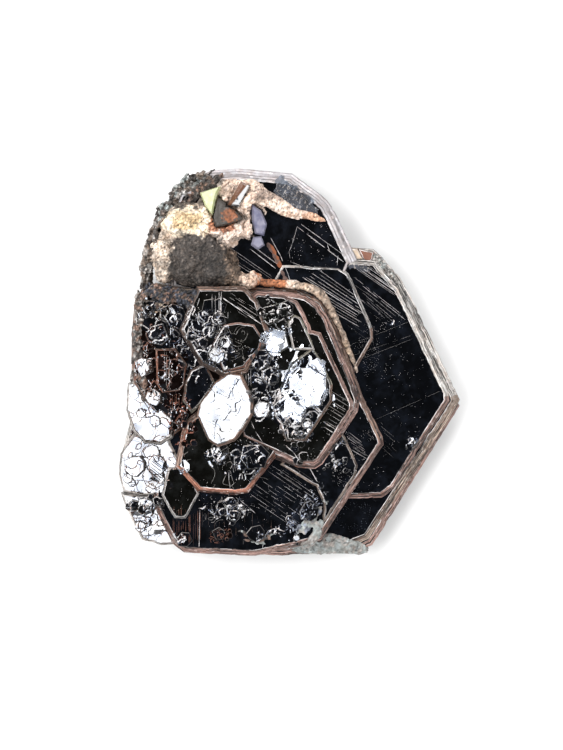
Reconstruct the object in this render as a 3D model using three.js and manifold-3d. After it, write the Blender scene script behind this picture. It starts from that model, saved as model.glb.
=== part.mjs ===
// Hematite rose: thin hexagonal hematite plates that grew through one another in a low stack, with a crust
// of feldspar matrix in one corner and a few small crystals sitting in it.
// Millimetres, +Z up. It lies on its back. Origin: the middle of its outline, on the surface it lies on.
// The hematite grew together, so it is one solid. The feldspar and each crystal in it are their own solids.

import * as THREE from "three";
import { mergeVertices } from "three/addons/utils/BufferGeometryUtils.js";
import Module from "manifold-3d";

const wasm = await Module();
wasm.setup();

// Driving dimensions
const SEAM = 0.3; // gap that separate solids keep to each other
const RIM = 0.55; // how far a plate's sloping edge face reaches out, seen from above
const RIM_DROP = 0.8; // height of that sloping face
const UNDERCUT = 0.45; // how far the foot of a plate draws back in below its widest line
const ROSETTE_SEED = 11; // seeds for the irregular outlines of small growths
const EDGE_SEED = 23;
const MATRIX_SEED = 5; // and for the dents in the feldspar

// ---------------------------------------------------------------- helpers

/** A repeatable stream of numbers from 0 to 1. */
function randomStream(seed) {
  let state = seed;
  return () => {
    state = (state + 0x6d2b79f5) | 0;
    let t = Math.imul(state ^ (state >>> 15), 1 | state);
    t = (t + Math.imul(t ^ (t >>> 7), 61 | t)) ^ t;
    return ((t ^ (t >>> 14)) >>> 0) / 4294967296;
  };
}

/** The corners as THREE.Vector2, counter-clockwise. */
function corners(outline) {
  const points = outline.map(([x, y]) => new THREE.Vector2(x, y));
  return THREE.ShapeUtils.isClockWise(points) ? points.reverse() : points;
}

/** Each side of the outline moved out by distance, with mitred corners. */
function widened(points, distance) {
  const count = points.length;
  return points.map((point, i) => {
    const before = point.clone().sub(points[(i + count - 1) % count]).normalize();
    const after = points[(i + 1) % count].clone().sub(point).normalize();
    const normalA = new THREE.Vector2(before.y, -before.x);
    const normalB = new THREE.Vector2(after.y, -after.x);
    const mitre = normalA.clone().add(normalB).normalize();
    const stretch = Math.min(1.6, 1 / Math.max(0.2, mitre.dot(normalA)));
    return point.clone().addScaledVector(mitre, distance * stretch);
  });
}

/** A closed skin over rings of equal length, lowest ring first, with a flat cap at both ends. */
function skinOver(rings) {
  const count = rings[0].points.length;
  const positions = rings.flatMap(({ points, z }) => points.flatMap((p) => [p.x, p.y, z]));
  const index = [];
  for (let ring = 0; ring + 1 < rings.length; ring++) {
    for (let i = 0; i < count; i++) {
      const a = ring * count + i;
      const b = ring * count + ((i + 1) % count);
      index.push(a, b, b + count, a, b + count, a + count);
    }
  }
  const last = (rings.length - 1) * count;
  for (const [a, b, c] of THREE.ShapeUtils.triangulateShape(rings[0].points, [])) index.push(c, b, a);
  for (const [a, b, c] of THREE.ShapeUtils.triangulateShape(rings.at(-1).points, [])) {
    index.push(last + a, last + b, last + c);
  }
  const geometry = new THREE.BufferGeometry();
  geometry.setAttribute("position", new THREE.Float32BufferAttribute(positions, 3));
  geometry.setIndex(index);
  return geometry;
}

/** A manifold-3d solid from a closed geometry. */
function solidFrom(geometry) {
  const bare = geometry.clone();
  bare.deleteAttribute("normal");
  bare.deleteAttribute("uv");
  const merged = mergeVertices(bare, 1e-4);
  const triVerts = new Uint32Array(merged.index.array);
  return new wasm.Manifold(
    new wasm.Mesh({ numProp: 3, vertProperties: merged.attributes.position.array, triVerts }),
  );
}

/** A three.js geometry from a manifold-3d solid. */
function geometryFrom(solid) {
  const mesh = solid.getMesh();
  const geometry = new THREE.BufferGeometry();
  geometry.setAttribute("position", new THREE.BufferAttribute(mesh.vertProperties, 3));
  geometry.setIndex(new THREE.BufferAttribute(mesh.triVerts, 1));
  geometry.computeVertexNormals();
  return geometry;
}

const joined = (solids) => solids.reduce((sum, solid) => sum.add(solid));

/** The largest body of a solid, without loose crumbs or closed hollows inside it. */
const largest = (solid) => solid.decompose().sort((a, b) => b.volume() - a.volume())[0];

/**
 * One plate: flat top, edge faces that slope out and down, then a foot that draws back in. With blunt set the
 * edge faces run straight to the foot. tilt is [about X, about Y] in degrees, about the middle of the top.
 * grow swells it all round.
 */
function plate({ outline, top, thick, rim = RIM, drop = RIM_DROP, tilt = [0, 0], blunt = false }, grow = 0) {
  const points = corners(outline);
  const slope = Math.min(drop, thick * 0.6);
  const foot = { points: widened(points, rim * (blunt ? 1 : 1 - UNDERCUT) + grow), z: -thick - grow };
  const edge = [
    { points: widened(points, rim + grow), z: -slope - grow },
    { points: widened(points, rim + grow), z: -slope + grow },
  ].slice(grow > 0 ? 0 : 1);
  const face = { points: widened(points, grow), z: grow };
  const geometry = skinOver(blunt ? [foot, face] : [foot, ...edge, face]);
  const middle = new THREE.Box2().setFromPoints(points).getCenter(new THREE.Vector2());
  geometry.translate(-middle.x, -middle.y, 0);
  geometry.rotateX(THREE.MathUtils.degToRad(tilt[0]));
  geometry.rotateY(THREE.MathUtils.degToRad(tilt[1]));
  geometry.translate(middle.x, middle.y, top);
  return solidFrom(geometry);
}

/** An irregular polygon of so many sides round a point, for small growths. */
function roughRound([x, y], radius, sides, random, jitter = 0.18) {
  return Array.from({ length: sides }, (_, i) => {
    const angle = ((i + 0.5 * random()) / sides) * 2 * Math.PI;
    const reach = radius * (1 - jitter + 2 * jitter * random());
    return [x + reach * Math.cos(angle), y + reach * Math.sin(angle)];
  });
}

/** A lump: a coarse ball pressed to the three radii and dented at random. */
function lump([x, y, z], [rx, ry, rz], random, detail = 2, dent = 0.14) {
  const geometry = mergeVertices(bareBall(detail), 1e-4);
  const position = geometry.attributes.position;
  for (let i = 0; i < position.count; i++) {
    const reach = 1 - dent + 2 * dent * random();
    position.setXYZ(
      i,
      x + position.getX(i) * rx * reach,
      y + position.getY(i) * ry * reach,
      z + position.getZ(i) * rz * reach,
    );
  }
  return solidFrom(geometry);
}

function bareBall(detail) {
  const ball = new THREE.IcosahedronGeometry(1, detail);
  ball.deleteAttribute("normal");
  ball.deleteAttribute("uv");
  return ball;
}

// ---------------------------------------------------------------- hematite

// The large plates, from the back of the stack to the front. Each outline is that of its flat top.
const PLATES = {
  sole: {
    top: 1.6, thick: 1.6, rim: 0.7, drop: 0.9,
    outline: [
      [-8.5, 8.6], [5.2, 9.2], [12.2, -3.2], [5.6, -15.2], [-7.4, -15.8], [-13.6, -3.8],
    ],
  },
  sole_left: {
    top: 2.4, thick: 1.9, rim: 0.6, drop: 0.8,
    outline: [
      [-14.4, 7.2], [-5.2, 7.9], [-3.4, -3.4], [-8.2, -14.9], [-14.8, -12.2], [-16.4, -3.4],
    ],
  },
  sole_right: {
    top: 2.6, thick: 1.7, rim: 0.6, drop: 0.8,
    outline: [[4.3, 10.2], [9.5, 7.9], [15, -3.9], [8.3, -16.4], [1.6, -17], [-2.3, -4.2]],
  },
  sole_top: {
    top: 3.1, thick: 1.9, rim: 0.6, drop: 0.8,
    outline: [[-11.8, 12], [-3.9, 14.9], [4.6, 12.8], [6.3, 5.2], [-2.4, 3.1], [-12.7, 5.1]],
  },
  under: {
    top: 3.6, thick: 1.7, rim: 0.7, drop: 0.8,
    outline: [
      [-13, 12.5], [-2, 14.5], [7, 11.5], [17, -4.2], [8.4, -18.6], [-11, -19.5], [-17, -8],
      [-16.5, 5],
    ],
  },
  upper_back: {
    top: 4.7, thick: 1.7, rim: 0.6, drop: 0.8,
    outline: [
      [-5.6, 20.6], [0, 19.6], [3.6, 17.1], [6, 11.5], [1.5, 6], [-9.3, 5.8], [-12.2, 9.6],
      [-12.6, 14.8], [-10.4, 18.8],
    ],
  },
  low_rim: {
    top: 4.1, thick: 1.2, rim: 0.7, drop: 0.7,
    outline: [
      [19.1, -3.9], [19.8, -5.2], [9.6, -21.5], [7.8, -22.1], [-1.5, -22.6], [-10.8, -22.1],
      [-14.9, -12.9], [-15.5, -4.5], [-10.7, 6.3], [3.6, 13], [9.6, 11.8], [12.6, 9],
    ],
  },
  rim: {
    top: 4.7, thick: 1.3, rim: 0.9, drop: 0.9,
    outline: [
      [19.6, -4.5], [19.4, -5], [9.1, -20.7], [7.4, -21.4], [0.1, -21.7], [-10.1, -21.1],
      [-14.9, -12.9], [-15.5, -4.5], [-10.7, 6.3], [3.6, 12.6], [6.8, 13.1], [9.8, 12.8],
      [10.5, 12.2], [12.6, 9.8], [14.1, 7.2],
    ],
  },
  main: {
    top: 5.8, thick: 1.9, rim: 0.6, drop: 0.8, tilt: [0.4, 0.3],
    outline: [
      [18.6, -3.7], [18.7, -4.5], [12.2, -14.8], [11, -15.7], [7.3, -15.8], [-3.2, -15.5],
      [-7.7, -8.1], [-7.7, 1.5], [-3.2, 9.3], [7.6, 11.9], [10.1, 11.7], [12.8, 8.6],
    ],
  },
  upper: {
    top: 6.1, thick: 2, rim: 0.8, drop: 1,
    outline: [
      [-9.2, 22.4], [-6.4, 22.6], [0.2, 22], [4.1, 19.1], [5, 17.5], [7.4, 12.1], [4.9, 7.5],
      [-7.1, 7.5], [-13.6, 9.4], [-14.3, 14.1], [-12.8, 20],
    ],
  },
  terrace: {
    top: 6.5, thick: 1.5, rim: 0.35, drop: 0.6, tilt: [-0.5, 0.4],
    outline: [
      [-0.7, 11.5], [5.9, 11.2], [7, 10.5], [9.7, 4.1], [9.8, 2.9], [7.7, -0.8], [4.3, -5.7],
      [-1.1, -3.9], [-3.2, 6.3],
    ],
  },
  broad: {
    top: 7.6, thick: 2.6, rim: 0.65, drop: 1,
    outline: [
      [1.3, 8.1], [3.7, 7.1], [5.3, 3.9], [8.2, -4.1], [10.6, -9.1], [10.7, -9.7], [4.4, -19.3],
      [3.5, -20.8], [0.8, -21.5], [-4.1, -22.6], [-12.4, -22.2], [-13.5, -21.4], [-15.8, -16.7],
      [-15.5, -10.5], [-12.5, -2.1], [-10.1, 6.3], [-5.9, 8.5],
    ],
  },
  spur: {
    top: 8.05, thick: 1, rim: 0.25, drop: 0.4,
    outline: [
      [6.1, -8.1], [8, -12.4], [7.8, -13.4], [4.3, -18.8], [4.4, -16.9], [3.4, -14.7],
      [-0.7, -12.2], [1.3, -9.9],
    ],
  },
  heart: {
    top: 8.9, thick: 2, rim: 0.6, drop: 0.9, tilt: [0.4, -0.3],
    outline: [
      [-0.1, 7.9], [1.8, 7.5], [3.2, 6.5], [4.1, 5.1], [7.3, -2.7], [7.9, -4.5], [7.7, -5.7],
      [3.6, -11.8], [3, -12.2], [1.2, -12.1], [-5.9, -9.3], [-8, -2.1], [-6.8, 6.1], [-3.7, 8.1],
    ],
  },
  collar: {
    top: 9.6, thick: 1.4, rim: 0.45, drop: 0.65,
    outline: [
      [-3.7, 8], [-0.6, 7.7], [0.7, 7], [1.8, 5.1], [2.4, 3.5], [3.5, 3.2], [5.4, -0.9],
      [7.3, -4.9], [7.2, -5.6], [3.4, -11.5], [2.9, -11.8], [1.3, -11.7], [-5.3, -8.7],
      [-6.8, -2.1], [-6.1, 5.7],
    ],
  },
  crown: {
    top: 10.1, thick: 1.2, rim: 0.3, drop: 0.5, tilt: [-0.8, 0.5],
    outline: [
      [4.9, -2.7], [4.9, -4.5], [1.9, -9.1], [-0.1, -9.1], [-0.7, -7.9], [-1.1, -3.9], [0.4, -0.3],
      [2.8, 1.5], [4, -0.4],
    ],
  },
  slab: {
    top: 10.3, thick: 1.3, rim: 0.2, drop: 0.4,
    outline: [[0, 4.9], [0.7, 5.5], [1.3, 5.2], [2.5, 2.5], [2.8, 1.7], [0.6, 1.7]],
  },
  garnet_side: {
    top: 9.3, thick: 2.4, rim: 0.6, drop: 0.9, tilt: [0.6, 0.4],
    outline: [
      [-13, -12.3], [-10.6, -14.9], [-6.5, -15.3], [-5.2, -15.1], [-2, -10.9], [-1, -9.1],
      [-2, -4.5], [-7.7, -3.9], [-12.1, -7.5],
    ],
  },
  heel: {
    top: 8.5, thick: 1.5, rim: 0.3, drop: 0.5,
    outline: [
      [-15.1, -15.9], [-13.6, -18.5], [-12.5, -18.5], [-11, -15.7], [-12.4, -12.7], [-14.3, -12.7],
    ],
  },
  left_low: {
    top: 5.9, thick: 2.8, rim: 0.4, drop: 1,
    outline: [
      [-15.9, 9.2], [-9.6, 8.9], [-7.1, 3.9], [-8.3, -4.5], [-14.3, -7.9], [-17.4, -5.6],
      [-18.1, -1.4], [-17.6, 4.2],
    ],
  },
  left_bed: {
    top: 8.3, thick: 2.7, rim: 0.4, drop: 1,
    outline: [
      [-16.3, 9.1], [-10.7, 8.4], [-7.1, 3.9], [-8.3, -4.5], [-13.7, -8.3], [-16.7, -5.1],
      [-18.5, -2.1], [-18.5, 3.3], [-18.2, 6.5], [-17.7, 7.7],
    ],
  },
  left_top: {
    top: 10.7, thick: 2.6, rim: 0.5, drop: 0.8,
    outline: [
      [-10.7, 8.6], [-5.5, 8.6], [-4.1, 7.1], [-2.8, 3.5], [-3.4, 2.1], [-5.4, -0.8], [-7.7, -1.3],
      [-10.3, 0.1], [-12.6, 3.9],
    ],
  },
  left_cap: {
    top: 11.2, thick: 1, rim: 0.2, drop: 0.3, tilt: [-1, 0.8],
    outline: [
      [-7.7, 4.3], [-5.9, 4.7], [-4.3, 4.3], [-3.4, 2.9], [-3.7, 1.7], [-5.5, -0.4], [-7.7, -0.9],
      [-9, 2.1],
    ],
  },
  mirror: {
    top: 10.4, thick: 2, rim: 0.25, drop: 0.5, tilt: [-2, -9],
    outline: [
      [-7.3, -1.4], [-5.9, -1.6], [-5.2, -3.1], [-4.6, -4.7], [-4.6, -6.1], [-5.8, -8.1],
      [-6.7, -9.2], [-8.5, -9.8], [-9.6, -9.1], [-10.3, -7.6], [-10.9, -6.4], [-10.7, -5.1],
      [-9.1, -2.8],
    ],
  },
  dark_window: {
    top: 9.6, thick: 1.8, rim: 0.25, drop: 0.5, tilt: [1.2, 0.6],
    outline: [
      [-15.8, 1.5], [-15.7, -2.5], [-15.1, -3.5], [-13.3, -3.3], [-12.7, -2.7], [-12.4, -0.3],
      [-13.7, 1.5],
    ],
  },
  navy_window: {
    top: 9.9, thick: 2, rim: 0.25, drop: 0.5, tilt: [0.6, 1.4],
    outline: [
      [-11.6, -1.1], [-10.1, -0.3], [-9.1, -2.5], [-10.7, -4.9], [-11.6, -5.7], [-12.5, -4.5],
      [-12.2, -2.4],
    ],
  },
  left_foot: {
    top: 5.4, thick: 3.6, rim: 0.5, drop: 1, tilt: [0, -3],
    outline: [
      [-17.6, -3.5], [-12, -4.5], [-10.5, -16.5], [-14.8, -20.3], [-18.4, -16.5], [-19.6, -10.5],
    ],
  },
};

// The petals that lean outwards on the left, each a plate with worn round corners.
const PETALS = {
  petal_high: {
    top: 8.1, thick: 3.2, rim: 0.35, drop: 0.7, tilt: [-3, -10],
    outline: [
      [-19.2, -2.6], [-17.8, -2.1], [-16.6, -4.3], [-15.3, -5.7], [-14, -6.9], [-14.3, -8.8],
      [-15.5, -9.5], [-17.3, -9.3], [-18.5, -8.1], [-19.4, -5.7],
    ],
  },
  petal_wide: {
    top: 7.5, thick: 3, rim: 0.35, drop: 0.7, tilt: [2, -10],
    outline: [
      [-18.7, -8.9], [-16.7, -8.8], [-14.5, -9.3], [-14, -10.7], [-13.1, -12.3], [-14.3, -14.6],
      [-15.2, -15.7], [-17.9, -15.7], [-19.8, -15.3], [-20.3, -13.5], [-20.1, -11.1],
    ],
  },
  petal_low: {
    top: 6.5, thick: 2.8, rim: 0.35, drop: 0.7, tilt: [6, -8],
    outline: [
      [-19.9, -16], [-16.7, -16.3], [-15.7, -17.5], [-14.1, -21.6], [-15.5, -21.7], [-17.6, -21.1],
      [-18.4, -19.5], [-19.3, -17.6],
    ],
  },
};

// Where small late growths sit: [x, y, z of their tops, radius, sides, tilt about X, tilt about Y].
const ROSETTES = [
  [2.2, -3.2, 10.9, 2.5, 9, -4, -8],
  [0.1, -5.6, 10.7, 1.9, 10, 3, -3],
  [-3.2, -5.6, 10.1, 1, 8, 2, -9],
  [-8.3, -10.7, 9.8, 1.1, 8, 0, -5],
  [-8.6, 0.9, 11.3, 0.9, 7, -5, -8],
  [-7.6, 2.4, 11.5, 0.7, 7, 4, -6],
  [-1.5, 2.5, 10.2, 1.4, 6, -6, -8],
  [-2.2, 5.8, 10.1, 1.2, 6, 0, 0],
  [-0.4, 6.4, 10, 0.9, 6, 3, 2],
  [-3.4, 0.2, 10.3, 1.3, 7, 2, 3],
  [-2.2, -1.6, 10.4, 1.1, 7, -3, 4],
  [0.4, -8.3, 10.5, 1, 6, 0, 2],
  [-4.2, -11.3, 9.8, 1.6, 6, 2, -2],
  [-10.8, -13.1, 9.6, 1.3, 6, -2, 1],
  [-13.4, 5.4, 9.3, 1.4, 6, 3, 2],
  [-15.9, 3.3, 9.6, 1.3, 6, -2, -3],
  [-10.8, 3.2, 10.2, 1.3, 7, 4, -3],
  [-14.6, 5.9, 9.2, 1, 6, -4, 2],
  [-13.2, -6.4, 9.1, 1, 8, -3, 3],
  [-17.6, -0.6, 8.8, 1.2, 6, 2, -6],
  [-17.2, 5.9, 8.9, 1.1, 6, 5, -4],
  [-16.2, -4.2, 8.7, 1, 7, 0, -7],
  [-15.2, -7.5, 8.5, 0.8, 8, 2, -9],
  [-18.6, -12.4, 7.9, 1.2, 8, 4, -12],
  [-16.2, -13.8, 7.8, 1.5, 7, 0, -6],
  [-17.3, -17.3, 7, 0.9, 7, 2, -9],
  [-7.6, -17.5, 8, 1, 8, 1, 2],
  [-4, -20.6, 8.1, 1.7, 7, -2, 1],
  [-8.4, -20.6, 7.9, 0.8, 5, 1, 0],
  [-12.6, -21.2, 8, 0.9, 6, -3, 2],
  [2.4, -17.9, 8.2, 1.2, 7, 3, 4],
  [-16.9, 10.9, 6.9, 0.9, 6, 4, -5],
];

/** Small plates that step down the broken rim at the foot of the stack, and stand out along the left side. */
function edgeGrowths(grow) {
  const random = randomStream(EDGE_SEED);
  const runs = [
    { from: [-17.6, 7.4], to: [-18.1, -1.6], low: 3.4, high: 7.8, count: 9, radius: 1 },
    { from: [-16.4, 9.6], to: [-14.6, 17], low: 3.4, high: 6.6, count: 8, radius: 1 },
    { from: [-13.8, 18.6], to: [-9.4, 21.9], low: 3.8, high: 6.9, count: 6, radius: 1.1 },
    { from: [-2.8, -22], to: [7, -21.7], low: 4.4, high: 7, count: 7, radius: 1 },
    { from: [8.4, 12.4], to: [12, 9.4], low: 4.4, high: 6, count: 4, radius: 0.95 },
    { from: [-18.6, -4.6], to: [-18.9, -14.6], low: 3.6, high: 6, count: 5, radius: 1 },
  ];
  return runs.flatMap(({ from, to, low, high, count, radius }) =>
    Array.from({ length: count }, (_, i) => {
      const along = (i + 0.5) / count;
      const centre = [
        THREE.MathUtils.lerp(from[0], to[0], along) + 0.5 * (random() - 0.5),
        THREE.MathUtils.lerp(from[1], to[1], along) + 0.5 * (random() - 0.5),
      ];
      return plate({
        outline: roughRound(centre, radius * (0.7 + 0.5 * random()), 6, random),
        top: low + (high - low) * random(),
        thick: 1.1 + random(),
        rim: 0.2,
        tilt: [16 * (random() - 0.5), 16 * (random() - 0.5)],
        blunt: true,
      }, grow);
    }),
  );
}

/** The whole fused cluster. grow swells every plate, to cut seats into what sits on it. */
function hematiteCluster(grow = 0) {
  const random = randomStream(ROSETTE_SEED);
  const plates = Object.values({ ...PLATES, ...PETALS }).map((spec) => plate(spec, grow));
  const rosettes = ROSETTES.map(([x, y, top, radius, sides, tiltX, tiltY]) =>
    plate({
      outline: roughRound([x, y], radius, sides, random, 0.1),
      top,
      thick: 1.1,
      rim: 0.3,
      tilt: [tiltX, tiltY],
      blunt: true,
    }, grow));
  return largest(joined([...plates, ...rosettes, ...edgeGrowths(grow)]));
}

// ---------------------------------------------------------------- crystals held by the feldspar

const YELLOW_CRYSTAL = {
  top: 8.9, thick: 1.7, tilt: [-6, -8], rim: 0.2, drop: 0.4,
  outline: [[-10.5, 20.3], [-8.5, 21], [-8.9, 20.2], [-9.3, 18], [-10, 19]],
};
const LILAC_CRYSTAL_LARGE = {
  top: 8, thick: 1.4, tilt: [6, 4], rim: 0.2, drop: 0.4,
  outline: [[-4.3, 18.7], [-3.5, 18.1], [-2.8, 16.6], [-3.1, 15.4], [-3.9, 15.6], [-4.2, 16.9]],
};
const LILAC_CRYSTAL_SMALL = {
  top: 7.9, thick: 1.1, tilt: [-4, 8], rim: 0.2, drop: 0.4,
  outline: [[-4.1, 14.9], [-3.4, 15], [-3.1, 14.2], [-3.7, 13.8], [-4.3, 14.2]],
};
const HEMATITE_BLADE = {
  top: 9.2, thick: 1.7, rim: 0.3, drop: 0.9, tilt: [4, 10],
  outline: [[-5.5, 21.3], [-4.9, 21], [-6, 18.9], [-6.8, 19]],
};
const BROWN_CRYSTAL = {
  top: 8.9, thick: 1.8, tilt: [5, -4], rim: 0.2, drop: 0.4,
  outline: [[-8.7, 19.6], [-7.3, 18.6], [-5.8, 17.2], [-7.3, 16.7], [-8.7, 16.4], [-9.1, 17.6]],
};

// ---------------------------------------------------------------- feldspar matrix

// The lumps of the crust over the corner: [middle, radii].
const FELDSPAR_LUMPS = [
  [[-12, 16.6, 5.6], [3.4, 2.7, 3.1]],
  [[-8.2, 17.6, 5.7], [3.4, 3.3, 3.1]],
  [[-5.2, 20, 5.6], [2.9, 2.2, 2.9]],
  [[-4.6, 17, 5.4], [2, 3.1, 2.6]],
  [[-11.6, 12.6, 5.9], [3.6, 3.8, 3.5]],
  [[-8.3, 11.6, 6.3], [3, 3, 3.1]],
  [[-15.2, 12.4, 5.5], [1.7, 3.4, 2.7]],
  [[-6.9, 15.2, 5.6], [2.4, 2.1, 2.9]],
  [[-5.6, 9.9, 6.5], [2, 1.4, 2.6]],
];

// The strands of crust that run out from it along the edges of two plates.
const STRANDS = [
  {
    z: 6.3, halfWidth: 0.62, halfHeight: 0.7,
    path: [[-4.8, 19.9], [-3.2, 19.5], [-1.7, 18.8], [0.1, 18.2], [1.9, 17.8], [3.5, 17.3], [4.6, 16.9]],
  },
  {
    z: 6.75, halfWidth: 0.6, halfHeight: 1,
    path: [
      [-6, 10.4], [-3.4, 9.6], [-1, 9.5], [1.3, 9.2], [3.1, 8.7], [4.1, 7.7], [4.9, 6.1], [5.9, 4.1],
      [6.7, 2.1], [7.6, 0.3], [8.2, -1.4],
    ],
  },
];

/** The feldspar before its seats are cut: the lumpy crust and its two strands. */
function feldsparMatrix() {
  const random = randomStream(MATRIX_SEED);
  const crust = FELDSPAR_LUMPS.map(([middle, radii]) => lump(middle, radii, random));
  const strands = STRANDS.map((spec) => strand(spec, random));
  return joined([...crust, ...strands]);
}

/** A strand of crust along the path: uneven sections of about the half-width and half-height. */
function strand({ path, z, halfWidth, halfHeight }, random) {
  const sides = 6;
  const line = new THREE.CatmullRomCurve3(path.map(([x, y]) => new THREE.Vector3(x, y, z)));
  const stations = path.length * 3;
  const positions = [];
  for (let i = 0; i <= stations; i++) {
    const at = line.getPointAt(i / stations);
    const along = line.getTangentAt(i / stations);
    const end = Math.sin(Math.PI * THREE.MathUtils.clamp((i + 0.6) / (stations + 1.2), 0, 1)) ** 0.5;
    for (let side = 0; side < sides; side++) {
      const angle = (side / sides) * 2 * Math.PI;
      const reach = end * (0.75 + 0.5 * random());
      const out = Math.cos(angle) * halfWidth * reach;
      positions.push(at.x + along.y * out, at.y - along.x * out, at.z + Math.sin(angle) * halfHeight * reach);
    }
  }
  const index = [];
  for (let i = 0; i < stations; i++) {
    for (let side = 0; side < sides; side++) {
      const a = i * sides + side;
      const b = i * sides + ((side + 1) % sides);
      index.push(a, b + sides, b, a, a + sides, b + sides);
    }
  }
  const last = stations * sides;
  for (let side = 1; side + 1 < sides; side++) {
    index.push(0, side, side + 1, last, last + side + 1, last + side);
  }
  const geometry = new THREE.BufferGeometry();
  geometry.setAttribute("position", new THREE.Float32BufferAttribute(positions, 3));
  geometry.setIndex(index);
  return solidFrom(geometry);
}

// ---------------------------------------------------------------- assembly

const FINISHES = {
  hematite: { color: 0x3a3c42, roughness: 0.18, metalness: 0.9 },
  feldspar: { color: 0xd9bfa6, roughness: 0.85, metalness: 0 },
  yellow: { color: 0xd3dc8c, roughness: 0.2, metalness: 0 },
  lilac: { color: 0x9a9cb8, roughness: 0.4, metalness: 0.1 },
  brown: { color: 0x40342e, roughness: 0.6, metalness: 0.2 },
};

function part(name, solid, finish) {
  const mesh = new THREE.Mesh(geometryFrom(solid), new THREE.MeshStandardMaterial(FINISHES[finish]));
  mesh.name = name;
  return mesh;
}

const crystals = [YELLOW_CRYSTAL, LILAC_CRYSTAL_LARGE, LILAC_CRYSTAL_SMALL, HEMATITE_BLADE, BROWN_CRYSTAL];
const hematiteSeat = hematiteCluster(SEAM);
const pockets = joined(crystals.map((spec) => plate(spec, SEAM)));
const feldspar = largest(feldsparMatrix().subtract(hematiteSeat).subtract(pockets));
const brownSeat = joined([YELLOW_CRYSTAL, HEMATITE_BLADE].map((spec) => plate(spec, SEAM)));
const brown = largest(plate(BROWN_CRYSTAL).subtract(brownSeat));

const rose = new THREE.Group();
rose.add(part("hematite_plates", hematiteCluster(), "hematite"));
rose.add(part("feldspar_matrix", feldspar, "feldspar"));
rose.add(part("yellow_green_crystal", plate(YELLOW_CRYSTAL), "yellow"));
rose.add(part("lilac_crystal_large", plate(LILAC_CRYSTAL_LARGE), "lilac"));
rose.add(part("lilac_crystal_small", plate(LILAC_CRYSTAL_SMALL), "lilac"));
rose.add(part("hematite_blade", plate(HEMATITE_BLADE), "hematite"));
rose.add(part("brown_crystal", brown, "brown"));

export default rose;
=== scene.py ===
"""A hematite rose: mirror-black hexagonal plates grown through one another, with a corner of feldspar crust.

The plates, their edge bands, growth lines and small late growths are modelled as real surface here, in place
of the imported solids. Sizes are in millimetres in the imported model's own frame, and MM turns them into metres.
"""

import logging
import math
import random
from dataclasses import dataclass, field, replace
from enum import Enum
from itertools import combinations

import bmesh
import bpy
from mathutils import Matrix, Vector, noise
from mathutils.bvhtree import BVHTree
from mathutils.kdtree import KDTree


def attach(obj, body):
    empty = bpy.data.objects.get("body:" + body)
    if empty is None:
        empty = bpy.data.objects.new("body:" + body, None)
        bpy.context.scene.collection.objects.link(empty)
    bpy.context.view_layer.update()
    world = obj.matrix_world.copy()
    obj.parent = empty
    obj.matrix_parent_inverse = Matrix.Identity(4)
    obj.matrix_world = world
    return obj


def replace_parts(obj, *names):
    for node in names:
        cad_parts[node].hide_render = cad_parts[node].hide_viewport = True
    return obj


MM = 0.001
ROOT = "root"

log = logging.getLogger("hematite_rose")
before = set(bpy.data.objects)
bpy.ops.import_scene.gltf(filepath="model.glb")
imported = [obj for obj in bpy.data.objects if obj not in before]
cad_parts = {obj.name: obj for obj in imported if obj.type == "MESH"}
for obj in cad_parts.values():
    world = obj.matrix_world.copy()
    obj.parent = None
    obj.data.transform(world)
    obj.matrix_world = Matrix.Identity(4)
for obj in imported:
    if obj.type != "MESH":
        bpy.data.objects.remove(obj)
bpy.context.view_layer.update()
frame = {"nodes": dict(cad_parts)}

Point = tuple[float, float]
Triple = tuple[float, float, float]
Colour = tuple[float, float, float]
Mesh = bpy.types.Mesh
Piece = bpy.types.Object
Material = bpy.types.Material
Socket = bpy.types.NodeSocket


class Tone(Enum):
    """Colours of hematite: the tint of a mirror face, or the colour of an edge band. The brighter steel-grey
    mirror tint is given only to faces that lean towards the left light: a painted reflection. The palest white is
    painted highlight on arrises, growth lines and steps, and also colours the pale specks and flecks.
    """

    BLACK = (0.125, 0.135, 0.165)
    NAVY = (0.112, 0.126, 0.158)
    OLIVE = (0.146, 0.144, 0.12)
    GARNET = (0.13, 0.075, 0.06)
    # a brighter mirror tint, given only to faces that lean towards the left light: a painted reflection
    STEEL = (0.222, 0.222, 0.225)
    # the pale white of the painted highlights on arrises, growth lines and steps; it also colours the pale specks
    # and flecks
    FROST = (0.64, 0.655, 0.68)
    RUST = (0.158, 0.106, 0.094)
    EMBER = (0.33, 0.12, 0.055)
    RUSSET = (0.215, 0.08, 0.052)
    BRICK = (0.185, 0.085, 0.058)
    UMBER = (0.15, 0.105, 0.085)
    TAUPE = (0.158, 0.132, 0.112)
    SILVER = (0.27, 0.27, 0.265)
    LAVENDER = (0.37, 0.368, 0.392)
    DARK = (0.06, 0.055, 0.052)
    DUSK = (0.034, 0.04, 0.055)
    MOSS = (0.25, 0.285, 0.29)
    SLATE = (0.15, 0.175, 0.22)
    CREAM = (0.52, 0.44, 0.35)


# The tones by their short names.
(BLACK, NAVY, OLIVE, GARNET, STEEL, FROST, RUST, EMBER, RUSSET, BRICK, UMBER, TAUPE, SILVER, LAVENDER, DARK,
 DUSK, MOSS, SLATE, CREAM) = Tone


class Finish(Enum):
    """How a facet of hematite is finished. The value is its place in the piece's material slots."""

    MIRROR = 0
    BAND = 1
    GRAIN = 2


def wave(x: float, y: float, pitch: float, seed: float) -> float:
    """Returns smooth noise about 0 at a place in plan; a higher pitch makes it finer."""
    return noise.noise(Vector((x * pitch, y * pitch, seed)))


def clamped(value: float) -> float:
    """Returns the value, kept between 0 and 1."""
    return min(1.0, max(0.0, value))


def shaded(colour: Colour, factor: float) -> Colour:
    """Returns the colour made lighter or darker by the factor."""
    return tuple(clamped(value * factor) for value in colour)


def blended(first: Colour, second: Colour, share: float) -> Colour:
    """Returns a mix of two colours; share is how much of the second."""
    return tuple(a + (b - a) * share for a, b in zip(first, second))


def pairs(ring: list) -> zip:
    """Returns each entry of a closed ring with the one after it."""
    return zip(ring, ring[1:] + ring[:1])


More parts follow.
